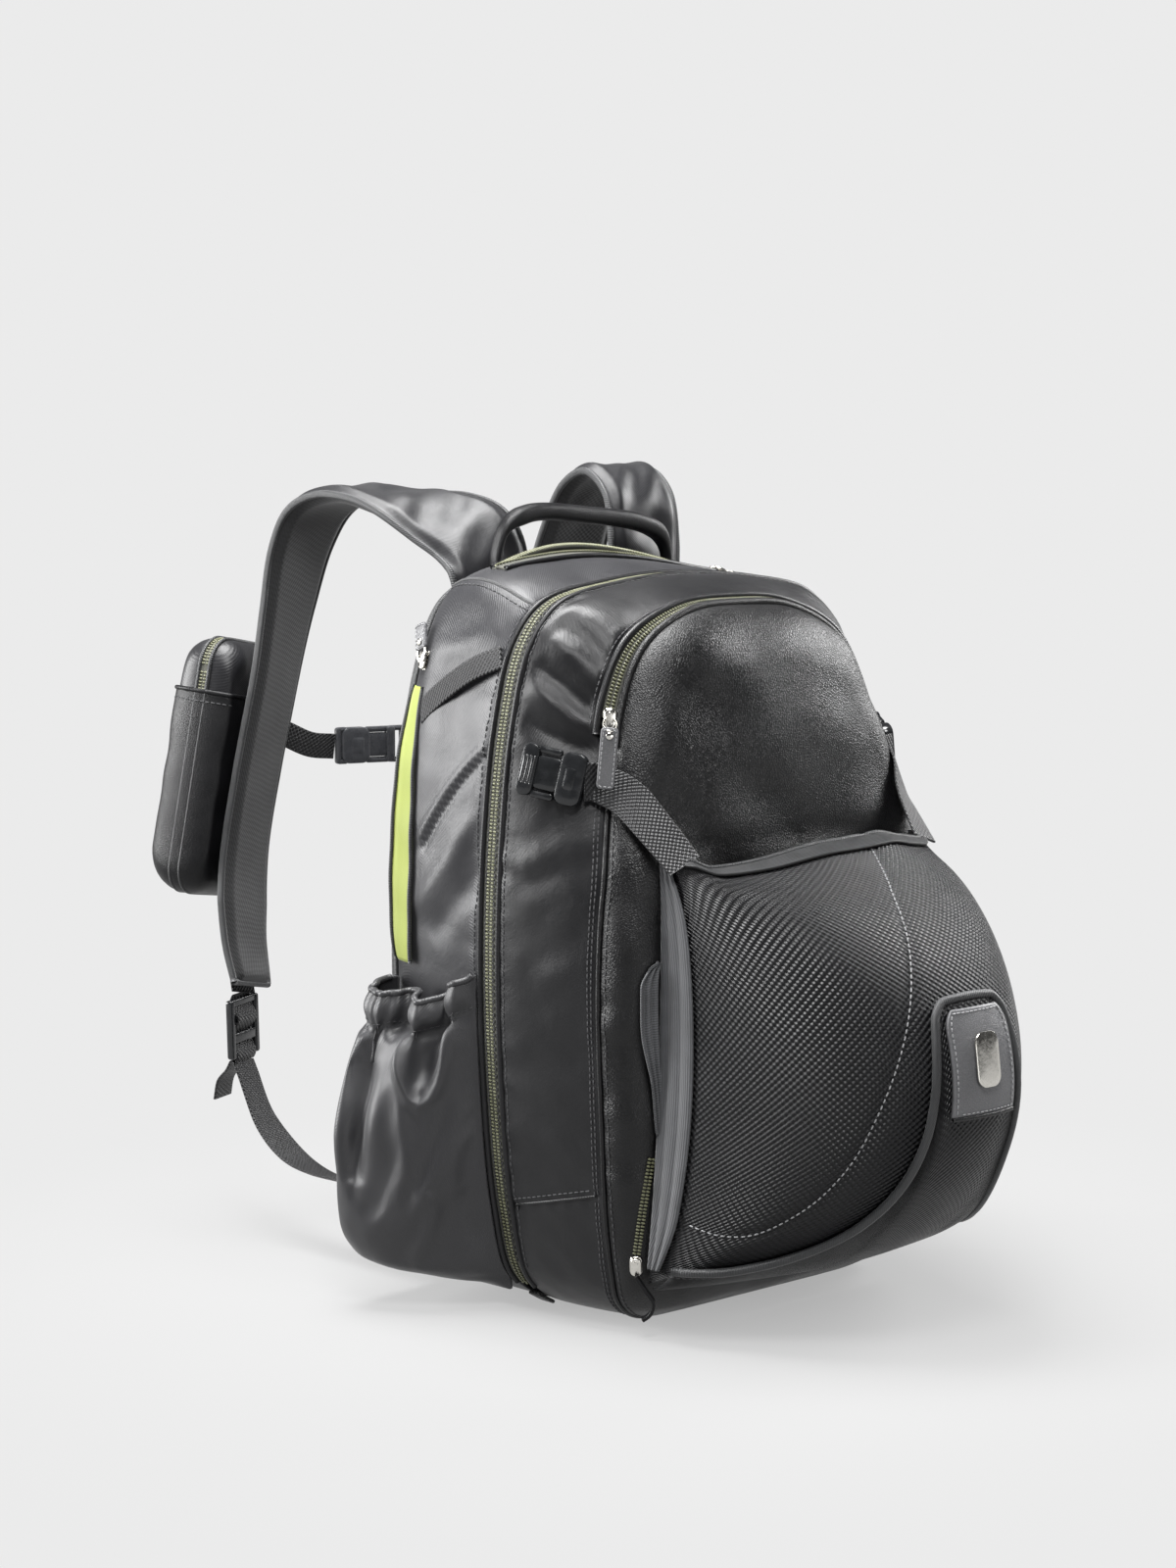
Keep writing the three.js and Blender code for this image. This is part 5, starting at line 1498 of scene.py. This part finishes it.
@dataclass(frozen=True)
class PhoneCase:
    """A padded case zipped round its edge, in a leather sleeve on the left strap."""

    strap: ShoulderStrap
    wide: float = 76.0
    tall: float = 178.0
    corner: float = 20.0
    shell: float = 17.0
    zip_wide: float = 9.0
    clear: float = 9.8
    lean: float = 0.02
    seat_z: float = 322.0
    sleeve_top: float = 51.0

    def axes(self) -> tuple[Array, Array, Array, Array]:
        """The case's place, and its directions across, along and out."""
        at, along, _, out = self.strap.frame(self.strap.share_at(self.seat_z))
        across = unit(np.cross(-along, out))
        up = np.cross(out, across)
        c, s = math.cos(self.lean), math.sin(self.lean)
        return at + out * self.clear, across, up * c + out * s, out * c - up * s

    def bowl(self, flip: float, base: float, deep: float, grow: float = 0.0, top: float = 1e3) -> Shape:
        """A padded shell that stands over the zip's plane.

        Args:
            flip: 1 for the outer shell and -1 for the inner one.
            base: Height of its open edge.
            deep: How far its middle stands over that edge.
            grow: How much larger than the case it is.
            top: Where it is cut off.

        Returns:
            The shell, in the case's own axes.
        """
        ring = rounded(self.wide + 2 * grow, self.tall + 2 * grow, self.corner + grow, 14)
        walk = np.linspace(0, 1, 121)[:-1]
        ring = Spline(ring, closed=True).at(walk)
        r = np.linspace(0.01, 1, 36)
        turn = np.clip(r - 0.5, 0, None) / 0.5 * (math.pi / 2)
        share = np.where(r < 0.5, 1.64 * r, lerp(0.82, 1.0, np.sin(turn)))
        flat = ring[None] * share[:, None, None]
        height = (deep + grow) * np.cos(turn)[:, None] + 0 * flat[..., 0]
        height += np.where(r < 0.5, 1.8 * (1 - (r / 0.5) ** 2), 0.0)[:, None]
        wrinkle = rumple(flat, 34, 31) * 0.6 * np.sin(np.clip(r, 0, 1) * math.pi)[:, None]
        z = base + flip * (height + wrinkle)
        y = np.minimum(flat[..., 1], top)
        shape = woven(np.stack([flat[..., 0], y, z], -1), wrap=True)
        shape.cloth = np.stack([flat[..., 0], y], -1).reshape(-1, 2)[shape.quads] * MM
        shape.caps = [list(range(120))]
        return shape

    def build(self) -> None:
        """Makes the case's shells, zip and sleeve."""
        at, x, y, z = self.axes()
        mid = at + z * (self.shell + self.zip_wide / 2)
        for name, flip, base in (("inner", -1, self.shell), ("outer", 1, self.shell + self.zip_wide)):
            half = self.bowl(flip, base, self.shell).moved(at, x, y, z)
            made = piece(f"phone_case_{name}_pad", half, STRAP_CLOTH, [f"phone_case_{name}"], inside=mid)
        outline = Spline(rounded(self.wide, self.tall, self.corner, 14), closed=True)
        edge = outline.at(np.linspace(0, 1, 241)[:-1])

        def ring(grow: float, height: float) -> Array:
            """The case's outline, grown, at a height of the zip."""
            flat = np.column_stack([edge * grow, np.full(240, self.shell + height)])
            return flat @ np.array([x, y, z]) + at

        run = ZipRun(gap=3.0)
        rows = [ring(1.0, height) for height in np.linspace(0.2, self.zip_wide - 0.2, 7)]
        run.tape("phone_case_zip", np.array(rows), 1.4, mid, wrap=True)
        coil = ring(1.004, self.zip_wide / 2)
        run.coil("phone_case_zip_coil", coil, unit(coil - mid))
        for name, height in (("inner", 0.6), ("outer", self.zip_wide - 0.6)):
            piece(f"phone_case_roll_{name}", tube(ring(1.006, height), 1.4, 8, loop=True), DARK_BINDING)
        self.sleeve(at, x, y, z)

    def sleeve(self, at: Array, x: Array, y: Array, z: Array) -> None:
        """The leather sleeve round the case, open at its hemmed top."""
        level, deep, grow = self.shell + self.zip_wide / 2, self.shell + self.zip_wide / 2, 1.6
        halves = [self.bowl(1, level, deep, grow, self.sleeve_top),
                  self.bowl(-1, level, deep, grow, self.sleeve_top).turned()]
        mid = at + z * level
        made = piece("phone_case_sleeve", joined(halves).moved(at, x, y, z), SMOOTH_LEATHER, inside=mid)
        turn = np.linspace(0, 2 * math.pi, 160, endpoint=False)
        wide = np.sign(np.sin(turn)) * (self.wide / 2 + grow) * lerp(0.82, 1, np.abs(np.sin(turn)))
        wide *= smooth(np.abs(np.sin(turn)), 0.0, 0.25) ** 0.5
        ring = np.stack([wide, np.full(160, self.sleeve_top), level + (deep + grow) * np.cos(turn)], -1)
        for name, drop, finish in (("hem", 0.0, SMOOTH_LEATHER), ("stitch", 7.0, THREAD)):
            path = at + (ring - (0, drop, 0)) @ np.array([x, y, z])
            out = unit(path - (mid + y * (self.sleeve_top - drop)))
            shape = tube(path, 1.5, 10, loop=True) if name == "hem" else stitched(path + out * 0.2, out)
            piece(f"phone_case_sleeve_{name}", shape, finish)


# Left side


@dataclass(frozen=True)
class LeftSide:
    """The gathered side pocket, the lime strip above it and the strap across the side."""

    form: BodyForm = FORM
    front_y: float = 6.0
    back_y: float = 94.0
    mouth_z: float = 222.0
    bulge: float = 66.0
    wall: float = 1.8
    # The pocket's foot at each depth, its swell up it and over it, then its mouth's drop and its lobes.
    foot: TableCurve = TableCurve(((6, 12), (35, 12), (70, 15), (88, 22), (94, 29)))
    up: TableCurve = TableCurve((
        (0, 0), (0.03, 0.5), (0.1, 0.9), (0.22, 1), (0.5, 0.96), (0.78, 0.64), (1, 0.3)))
    over: TableCurve = TableCurve((
        (0, 0), (0.12, 0.3), (0.35, 0.64), (0.65, 0.93), (0.85, 1), (0.95, 0.86), (1, 0)))
    mouth: TableCurve = TableCurve((
        (0, 0), (0.05, -4), (0.16, -8), (0.26, -16), (0.375, -20), (0.51, -15), (0.59, -16), (0.74, -18),
        (0.9, -17), (1, -12)))
    lobes: TableCurve = TableCurve((
        (0, 0), (0.1, 5), (0.25, -7), (0.38, 6), (0.55, -9), (0.72, 6), (0.92, 4), (1, 0)))
    folds: tuple[Crease, ...] = (
        Crease(((69, 206), (68, 165), (66, 122), (68, 84)), -11.0, 8.0),
        Crease(((46, 184), (43, 164), (38, 148), (31, 138), (24, 142), (20, 157), (18, 191)), 4.5, 3.4),
        Crease(((33, 190), (31, 168), (30, 150)), -6.0, 6.0),
        Crease(((47, 176), (41, 142), (37, 118), (33, 93), (27, 72)), 3.2, 5.0),
        Crease(((27, 84), (28, 56), (40, 32)), 3.0, 4.5),
    )
    strap_route: Route = ((7.5, 421), (27, 413.5), (46, 403), (64, 391), (75, 382))

    @cached_property
    def pocket_surface(self) -> Surface:
        """The pocket with its folds: shares run up it and from its front edge to its rear one."""
        def place(r: Array, c: Array) -> Array:
            """The pocket without its folds."""
            y = lerp(self.front_y, self.back_y, np.clip(c, 0, 1))
            z = lerp(self.foot(y), self.mouth_z + self.mouth(np.clip(c, 0, 1)), r)
            out = self.over(c) * self.bulge * self.up(r) + self.lobes(c) * smooth(r, 0.66, 0.93)
            return np.stack([self.form.left_x(y, z) - self.wall - 0.5 - out, y, z], -1)

        def relief(p: Array, r: Array, c: Array) -> Array:
            """Folds, rucks below the elastic and its drawn-in waist."""
            inner = smooth(c, 0.0, 0.12) * (1 - smooth(c, 0.93, 1.0)) * smooth(r, 0.0, 0.1)
            height = sum(fold.relief(p[..., 1:]) for fold in self.folds)
            height += 1.0 * rumple(p, 55, 41) + 0.25 * rumple(p, 21, 42)
            ruck = rumple(c[..., None] * 150, 11, 43) * smooth(r, 0.82, 0.9)
            waist = 3.0 * np.sin(np.clip((r - 0.9) / 0.1, 0, 1) * math.pi)
            waist -= 4.0 * np.exp(-(((r - 0.89) / 0.025) ** 2))
            return inner * (height * (1 - 0.8 * smooth(r, 0.82, 0.92)) + 1.0 * ruck + waist)
        return Surface(place, (-100, 50, 120), relief)

    def pocket(self) -> None:
        """The pocket's cloth, its elastic mouth and a row of stitches below it."""
        r, c = np.linspace(0, 1, 72)[:, None], np.linspace(0, 1, 68)[None]
        grid = self.pocket_surface.at(r + 0 * c, c + 0 * r)
        # The pocket's nylon is painted lighter, as the light on the pocket; its matte gloss is its own.
        made = piece("side_pocket_cloth", woven(grid), LIT_POCKET_NYLON, ["side_pocket"], self.wall,
                     inside=(-100, 50, 120))
        held = (r < 0.025) | (r > 0.88) | (c < 0.03) | (c > 0.97)
        Drape(0.004, 0.2, bend=4.0, cap=2.0).settle(made, held.ravel())
        soft = made.modifiers.new("soft", "SUBSURF")
        soft.levels = soft.render_levels = 1
        made.modifiers.move(1, 0)
        share = np.linspace(0.02, 0.98, 140)
        piece("side_pocket_mouth", tube(self.pocket_surface.at(1.0, share, -0.6), 2.2, 10), LIT_POCKET_NYLON)
        stitch_row("side_pocket_stitch", self.pocket_surface, 0.905, share, 0.2, EDGE_STITCH)

    def on_side(self, y: Array, z: Array, out: float) -> Array:
        """Points that stand off the bag's left side."""
        return np.stack([self.form.left_x(y, z) - out, y + 0 * z, z + 0 * y], -1)

    def lime_strip(self) -> None:
        """The lime strip and the thin dark piping down both its edges."""
        r, c = np.linspace(0, 1, 80)[:, None], np.linspace(0, 1, 14)[None]
        y, z = lerp(lerp(71.0, 77.0, r), 96.0, c), lerp(221.0, 398.0, r) + 0 * c
        grid = self.on_side(y, z, 2.0)
        swell = 6 * c**2 * np.sin(math.pi * np.clip(r, 0.001, 0.999)) ** 0.5
        grid[..., 0] -= swell + 0.5 * rumple(grid, 40, 51)
        made = piece("lime_lining_cloth", woven(grid), LIME, ["lime_lining"], 1.2, inside=(-100, 82, 310))
        for name, column in (("front", 0), ("rear", -1)):
            piece(f"lime_piping_{name}", tube(grid[:, column] + np.array([-0.4, 0, 0]), 1.3, 8), DARK_BINDING)

    def side_strap(self) -> None:
        """The webbing across the side."""
        centre = Spline(self.strap_route).at(np.linspace(0, 1, 60))
        wide = np.linspace(-7.5, 7.5, 12)
        y = centre[:, :1] + 0.47 * wide
        z = centre[:, 1:] + 0.88 * wide
        grid = self.on_side(y, z, 2.6)
        piece("side_strap_weave", woven(grid), WEBBING, ["side_strap"], 1.8, inside=(-100, 40, 380))

    def build(self) -> None:
        """Makes the left side's pieces."""
        self.pocket()
        self.lime_strip()
        self.side_strap()


# Mesh pouch


@dataclass(frozen=True)
class MeshPouch:
    """The mesh pouch on the front, its bindings, its lower flap with a tab, and its straps."""

    form: BodyForm = FORM
    inside: tuple[float, float, float] = (0, -110, 170)
    half_wide: float = 116.0
    taper: float = 6.0
    depth: float = 159.0
    middle_z: float = 170.0
    half_tall: float = 134.0
    mouth: float = 78.0
    lip: Route = ((-90, 0), (-66, -1), (-52, -6), (-30, -4), (0, 3), (20, 5), (36, 0), (60, -4), (90, 0))
    flap_edge: Route = (
        (0, 23), (8, 22.5), (12, 19), (14, 11), (15.3, 0), (16.6, -12), (18.5, -23), (21.5, -33), (26, -42),
        (33, -50), (44, -57), (58, -61), (76, -62))
    seam: Route = (
        (14.5, 77), (1.5, 59.5), (-7, 43), (-14.5, 29), (-21, 16.5), (-26, 6.5), (-31.5, -6), (-37, -21),
        (-44, -34), (-54.5, -44), (-65, -45.5), (-78, -43))

    def at(self, lon: Array, lat: Array, grow: float = 0.0) -> Array:
        """Points of the dome at longitudes and latitudes in degrees, grown outwards."""
        a, b = np.radians(lon), np.radians(lat)
        boxy_sin, boxy_cos = (np.sign(v) * np.abs(v) ** 0.9 for v in (np.sin(a), np.cos(a)))
        z = self.middle_z + (self.half_tall + grow) * np.sin(b)
        seat = self.form.front_y(np.clip(z, 0, 290)) - 0.5
        y = seat - (self.depth + grow) * np.cos(b) * boxy_cos
        x = (self.half_wide - self.taper * np.sin(b) + grow) * boxy_sin
        lift = TableCurve(self.lip)(lon) * smooth(lat, 45, 78)
        return np.stack([x, y, z + lift], -1)

    def surface(self, grow: float) -> Surface:
        """The dome grown outwards, with its seam and soft dents."""
        def relief(p: Array, lon: Array, lat: Array) -> Array:
            """The seam's groove and soft dents."""
            flat = np.stack([lon, lat], -1)
            groove = Crease(self.seam, -1.1, 2.0, False).relief(flat) if grow < 2 else 0.0
            soft = 0.9 * rumple(p, 80, 61) * np.clip(np.cos(np.radians(lon)), 0, 1)
            return groove + soft * smooth(lat, -88, -60)
        return Surface(lambda lon, lat: self.at(lon, lat, grow), self.inside, relief, 0.15)

    def patch(self, lon: Array, lat: Array, grow: float) -> Shape:
        """A piece of cloth over part of the dome."""
        return woven(self.surface(grow).at(lon, lat), middle=True)

    def dome(self) -> None:
        """The mesh dome with its stitched seam."""
        lat = np.linspace(-88.5, self.mouth, 112)[:, None]
        lon = np.linspace(-89.9, 89.9, 136)[None]
        shape = self.patch(lon + 0 * lat, lat + 0 * lon, 0.0)
        made = piece("helmet_pouch_mesh", shape, POUCH_MESH, ["helmet_pouch"], 2.2, inside=self.inside)
        route = Spline(self.seam).at(np.linspace(0, 1, 200))
        stitch_row("helmet_pouch_stitch", self.surface(0.0), *route.T, 0.3, MESH_STITCH, LIGHT_THREAD)

    def bindings(self) -> None:
        """The grey bands round the pouch's mouth and down its sides."""
        lon = np.linspace(-80, 80, 160)[None]
        lat = np.linspace(72, 77.8, 9)[:, None]
        band = self.surface(2.4).at(lon + 0 * lat, lat + 0 * lon)
        piece("pouch_top_binding_band", woven(band), FOLDED_ELASTIC, ["pouch_top_binding"], 1.8,
              inside=self.inside)
        piece("pouch_top_roll", tube(self.surface(1.4).at(lon[0], 78.0), 2.2, 10), FOLDED_ELASTIC)
        for side in Side:
            lat = np.linspace(-66, 75, 120)[None]
            inner = lerp(81.0, 83.0, smooth(np.abs(lat), 40, 70))
            across = np.linspace(0, 1, 25)[:, None]
            rolls = 1.5 * np.abs(np.sin(2.5 * math.pi * across)) ** 0.6 + 0 * lat
            lon = lerp(inner, 89.5, across) * side.value
            band = self.surface(1.6).at(lon, lat + 0 * lon, rolls)
            name = f"pouch_binding_{side.word}"
            piece(f"{name}_band", woven(band), BINDING, [name], 1.8, inside=self.inside)

    def edge_details(self) -> None:
        """The folded elastic tape beside the left band, and the coil of the zip below it."""
        wrap = Surface(self.form.wrapped, (0, -40, 225), None, 0.012)
        z, across = np.linspace(114, 242, 70)[:, None], np.linspace(0, 1, 25)[None]
        reach = TableCurve(((114, 0.005), (118, 0.045), (150, 0.06), (200, 0.12), (224, 0.12), (237, 0.07),
                            (242, 0.01)))
        s = self.form.seam_at(Side.LEFT, z)
        pleats = 2.0 + 3.4 * np.abs(np.sin(2.5 * math.pi * across)) ** 0.6 + 0 * z
        tape = wrap.at(s, 0.6 + reach(z) * across, pleats)
        piece("pouch_elastic_tape", woven(tape), BINDING, wall=1.4, inside=(0, -40, 225))
        z = np.linspace(46, 104, 60)
        s = self.form.seam_at(Side.LEFT, z)
        ZipRun(gap=2.8).coil("pouch_zip_coil", *wrap.trace(s, lerp(0.81, 0.66, (z - 46) / 58), 0.6))

    def flap(self) -> None:
        """The lower flap with its piped edge."""
        edge = TableCurve(self.flap_edge)
        keys = np.array([k for k, _ in self.flap_edge])
        fine = np.interp(np.linspace(0, len(keys) - 1, 50), np.arange(len(keys)), keys)
        lon = np.concatenate([-fine[:0:-1], fine])[None]
        lat = lerp(-82.0, edge(np.abs(lon)), np.linspace(0, 1, 50)[:, None])
        shape = self.patch(lon + 0 * lat, lat, 4.4)
        made = piece("pouch_flap_mesh", shape, POUCH_MESH, ["pouch_flap"], 1.6, inside=self.inside)
        low = edge(np.abs(lon[0]))
        piece("pouch_flap_piping", tube(self.surface(4.0).at(lon[0], low), 2.8, 12), DARK_BINDING)
        stitch_row("pouch_flap_stitch", self.surface(4.4), lon[0], low - 3.0, 0.3, EDGE_STITCH)

    def tab(self) -> None:
        """The leather tab on the flap and its plain plate."""
        lat = np.linspace(-7, 20, 50)[:, None]
        half = 10.5 * np.sqrt(np.clip(1 - 0.5 * np.clip((lat - 13) / 7, 0, 1) ** 2.5, 0, 1))
        lon = half * np.linspace(-1, 1, 40)[None]
        shape = self.patch(lon, lat + 0 * lon, 7.4)
        # The tab's paler leather is painted light on the tab.
        piece("flap_tab_leather", shape, PALE_PULL_AND_LIT_TAB_LEATHER, ["flap_tab"], 2.4, inside=self.inside)
        inset = np.stack([lon * 0.88, lat + 0 * lon], -1)
        rim = np.concatenate([inset[2:-3, 0], inset[-3], inset[-4:1:-1, -1], inset[2, ::-1]])
        stitch_row("flap_tab_stitch", self.surface(7.4), *rim.T, 0.3, TAB_STITCH, LIGHT_THREAD)
        low = self.surface(7.4).at(np.linspace(-10.5, 10.5, 30), -7.0)
        piece("flap_tab_edge", tube(low, 1.5, 8), LEATHER)
        seat = Seat.of("tab_plate", (0, 0, 1), (0, -1, 0.14))
        plate = slab(rounded(20, 34, 7, 10), 1.6, 0.5, 0.5)
        piece("tab_plate_metal", seat.lay(plate, z=-0.8), NICKEL, ["tab_plate"], sharp=40)

    def strap(self, side: Side) -> None:
        """The strap from the pouch's corner to its side-release buckle."""
        form = self.form
        s = np.array([form.seam_at(side, 334), form.seam_at(side, 341), form.seam_at(side, 347, 0.9)])
        wrap = Surface(form.wrapped, (0, -40, 225), None, 0.012)
        at, out = wrap.trace(s, np.array([0.72, 0.86, 1.1]), 2.6)
        corner = self.surface(1.6).at(side.value * 72.0, 73.0)
        taut = lerp(corner, at[1], 0.5) + 2.0 * out[0]
        route = Spline([corner, taut if side is Side.LEFT else at[0], *at[1:]])
        out = np.array([unit(out[0] + np.array([0, -0.2, 0.5])), out[0], *out[1:]])
        share = np.linspace(0, 1, 70)
        facing = np.stack([np.interp(share, (0, 0.4, 0.8, 1), k) for k in out.T], -1)
        across = np.cross(facing, route.along(share))
        name = f"pouch_strap_{side.word}"
        piece(f"{name}_weave", strip(route.at(share), across, 25, 1.8), WEBBING, [name])
        node = f"pouch_buckle_{side.word}"
        _, out = wrap.trace(form.seam_at(side, 351, 0.55), 1.45)
        seat = Seat.of(node, (-side.value * 0.1, 1, 0.08), out)
        rows = [(33, 17, 6, 7, 0, -12.5), (21, 16, 3, 5.6, 0, 3), (33, 11, 5, 7, 0, 16)]
        rows += [(16, 9, 3, 8.2, 0, -12)] + [(4.5, 15, 2, 4.6, x, 4) for x in (-14, 14)]
        rows += [(19, 1.5, 0.7, 8, 0, y) for y in (13.4, 16, 18.6)]
        piece(f"{node}_moulding", moulded(seat, rows), RESIN, [node], sharp=40)
        start = seat.at - seat.along * 21 - seat.out * 0.5
        half_way = lerp(start, route.at(1.0), 0.5) + seat.out * 1.2
        link = Spline([start + seat.out * 1.5, half_way, route.at(0.99)])
        piece(f"{name}_loop", strip(link.at(np.linspace(0, 1, 24)), across[-1], 24, 1.8), WEBBING)

    def build(self) -> None:
        """Makes the pouch's pieces."""
        self.dome()
        self.bindings()
        self.edge_details()
        self.flap()
        self.tab()
        for side in Side:
            self.strap(side)


@dataclass(frozen=True)
class Slider:
    """A cast zip slider with a ring and a leather pull."""

    name: str
    along: Route
    out: Route
    hang: Route
    long: float
    wide: float = 11.0
    curl: bool = False

    def build(self) -> None:
        """Makes the slider, its ring and its pull."""
        node, pull = f"{self.name}_slider", f"{self.name}_pull"
        seat = Seat.of(node, self.along, self.out)
        body = [seat.lay(slab(rounded(8, 13, 3), 2.2, 0.6), z=-2.5),
                seat.lay(slab(rounded(7, 12, 3), 1.8, 0.6, 0.4), z=0.4),
                seat.lay(slab(rounded(3, 9, 1.4), 2.6, 0.6))]
        piece(f"{node}_metal", joined(body), NICKEL, [node], sharp=45)
        hung = Seat.of(pull, self.hang, self.out)
        if self.curl:
            steps = [(0, -5), (6, -14), (11, -22), (9, -29), (4, -33)]
            route = Spline([seat.at + seat.out * 3 + np.array([0.73 * x, -0.68 * x, z]) for x, z in steps])
            cord = strip(route.at(np.linspace(0, 1, 50)), seat.out, 4.5, 2.2)
            piece(f"{pull}_leather", cord, SMOOTH_LEATHER, [pull])
            return
        plate = slab(rounded(self.wide, self.long, 2.5), 2.6, 0.7, 0.2)
        piece(f"{pull}_leather", hung.lay(plate, z=-1.3), PALE_PULL_AND_LIT_TAB_LEATHER, [pull])
        rivet = slab(rounded(4.6, 4.6, 2.2), 1.2, 0.4, 0.4)
        piece(f"{pull}_rivet", hung.lay(rivet, y=5 - self.long / 2, z=1.3), NICKEL)
        top = hung.at - hung.along * (self.long / 2 - 1.5)
        start = seat.at + seat.out * 2.2
        reach = np.linalg.norm(top - start) / 2 + 1.8
        direction = unit(top - start)
        side = unit(np.cross(direction, hung.out))
        oval = pillow(reach, 4.2, 40, 1.0, 1.0)
        ring = lerp(start, top, 0.5) + oval[:, :1] * direction + oval[:, 1:] * side
        piece(f"{self.name}_ring", tube(ring, 0.9, 8, loop=True), NICKEL)
        rim = rounded(self.wide - 3, self.long - 3, 1.4, 4)
        rim = np.concatenate([rim, rim[:1]])
        path = hung.at + rim[:, :1] * hung.across + rim[:, 1:] * hung.along + hung.out * 1.5
        piece(f"{self.name}_pull_stitch", stitched(path, hung.out, PULL_STITCH), LIGHT_THREAD)


# Studio


@dataclass(frozen=True)
class Lamp:
    """A soft square light, in metres and watts."""

    name: str
    at: tuple[float, float, float]
    aim: tuple[float, float, float]
    size: float
    power: float


@dataclass(frozen=True)
class Studio:
    """A pale floor that fades into a pale background, soft lights and the photograph's camera."""

    azimuth: float = -43.0
    elevation: float = 9.0
    distance: float = 2.12
    target: tuple[float, float, float] = (0.0, -0.02, 0.24)
    lens: float = 73.91
    shift: tuple[float, float] = (-0.0675, 0.08875)
    paper: str = "#ebebeb"
    lamps: tuple[Lamp, ...] = (
        Lamp("key", (-1.6, 1.55, 0.85), (-0.1, 0.05, 0.25), 1.2, 95.0),
        Lamp("high", (-0.85, -0.9, 1.8), (-0.05, -0.05, 0.4), 0.6, 36.0),
        Lamp("top", (-0.2, 0.3, 2.0), (0.0, -0.05, 0.25), 1.0, 105.0),
        Lamp("right", (1.7, -0.3, 1.1), (0.0, -0.1, 0.3), 0.9, 46.0),
        Lamp("bounce", (-0.2, -1.5, 0.1), (0.0, -0.25, 0.05), 0.8, 6.0),
    )

    def floor(self) -> None:
        """The floor, lit by the lamps near the bag and glowing with the background's colour far from it;
        about a third of that glow reaches under the bag too, as painted light that lightens its shadow and
        lights the bag from below.
        """
        disc = np.column_stack([pillow(30.0, 30.0, 96, 1.0, 1.0), np.zeros(96)])
        mesh = bpy.data.meshes.new("floor")
        mesh.from_pydata(disc, [], [list(range(96))])
        made = bpy.data.objects.new("floor", mesh)
        bpy.context.scene.collection.objects.link(made)
        paint = bpy.data.materials.new("studio_paper")
        paint.use_nodes = True
        tree = paint.node_tree
        near_shader = tree.nodes["Principled BSDF"]
        values = {"Base Color": linear("#8a8a8a"), "Roughness": 0.9, "Specular IOR Level": 0.1}
        for socket, value in values.items():
            near_shader.inputs[socket].default_value = value
        place = add_node(tree, "ShaderNodeTexCoord").outputs["Object"]
        away = add_node(tree, "ShaderNodeVectorMath", {0: place}, operation="LENGTH").outputs["Value"]
        share = add_node(tree, "ShaderNodeMapRange", {"Value": away, "From Min": -0.45, "From Max": 0.65},
                         interpolation_type="SMOOTHSTEP").outputs["Result"]
        # The glow, which also paints light into the shadow near the bag.
        far = add_node(tree, "ShaderNodeEmission", {"Color": linear(self.paper)})
        mix = add_node(tree, "ShaderNodeMixShader", {0: share, 1: near_shader.outputs[0], 2: far.outputs[0]})
        tree.links.new(mix.outputs[0], tree.nodes["Material Output"].inputs["Surface"])
        mesh.materials.append(paint)

    def world(self) -> None:
        """A pale background that lights the bag less than it shows."""
        world = bpy.data.worlds.new("studio")
        bpy.context.scene.world = world
        world.use_nodes = True
        tree = world.node_tree
        seen = add_node(tree, "ShaderNodeBackground", {"Color": linear(self.paper), "Strength": 1.0})
        lit = add_node(tree, "ShaderNodeBackground", {"Color": linear(self.paper), "Strength": 0.08})
        path = add_node(tree, "ShaderNodeLightPath").outputs["Is Camera Ray"]
        mix = add_node(tree, "ShaderNodeMixShader", {0: path, 1: lit.outputs[0], 2: seen.outputs[0]})
        tree.links.new(mix.outputs[0], tree.nodes["World Output"].inputs["Surface"])

    def build(self) -> None:
        """Sets the floor, the lights and the camera."""
        self.floor()
        self.world()
        for lamp in self.lamps:
            light = bpy.data.lights.new(lamp.name, "AREA")
            light.energy, light.size = lamp.power, lamp.size
            made = bpy.data.objects.new(lamp.name, light)
            made.location = lamp.at
            made.rotation_euler = (Vector(lamp.aim) - Vector(lamp.at)).to_track_quat("-Z", "Y").to_euler()
            bpy.context.scene.collection.objects.link(made)
        a, e = math.radians(self.azimuth), math.radians(self.elevation)
        back = Vector((math.sin(a) * math.cos(e), -math.cos(a) * math.cos(e), math.sin(e)))
        lens = bpy.data.cameras.new("camera")
        lens.lens, lens.sensor_width = self.lens, 36.0
        lens.shift_x, lens.shift_y = self.shift
        camera = bpy.data.objects.new("camera", lens)
        camera.location = Vector(self.target) + back * self.distance
        camera.rotation_euler = back.to_track_quat("Z", "Y").to_euler()
        bpy.context.scene.collection.objects.link(camera)
        bpy.context.scene.camera = camera
        bpy.context.scene.view_settings.view_transform = "Standard"


def main() -> None:
    """Builds the bag and its studio."""
    logging.basicConfig(level=logging.INFO, format="%(name)s: %(message)s")
    Shell().build()
    harness = Harness()
    harness.build()
    PhoneCase(harness.left).build()
    LeftSide().build()
    MeshPouch().build()
    for slider in (
        Slider("front_zip", (0, 0, 1), (-0.8, -0.5, 0), (-0.4, -0.34, -1), 38.0),
        Slider("top_zip", (1, 0, 0), (0.3, 0, 1), (0.9, -0.35, -0.3), 22.0),
        Slider("pouch_zip", (0, 0, 1), (-0.8, -0.5, 0), (0, 0, -1), 22.0, curl=True),
        Slider("side_zip", (0, 0, -1), (-1, 0.1, 0.25), (0.15, 0.35, 0.9), 18.0),
    ):
        slider.build()
    Studio().build()


if __name__ == "__main__":
    main()
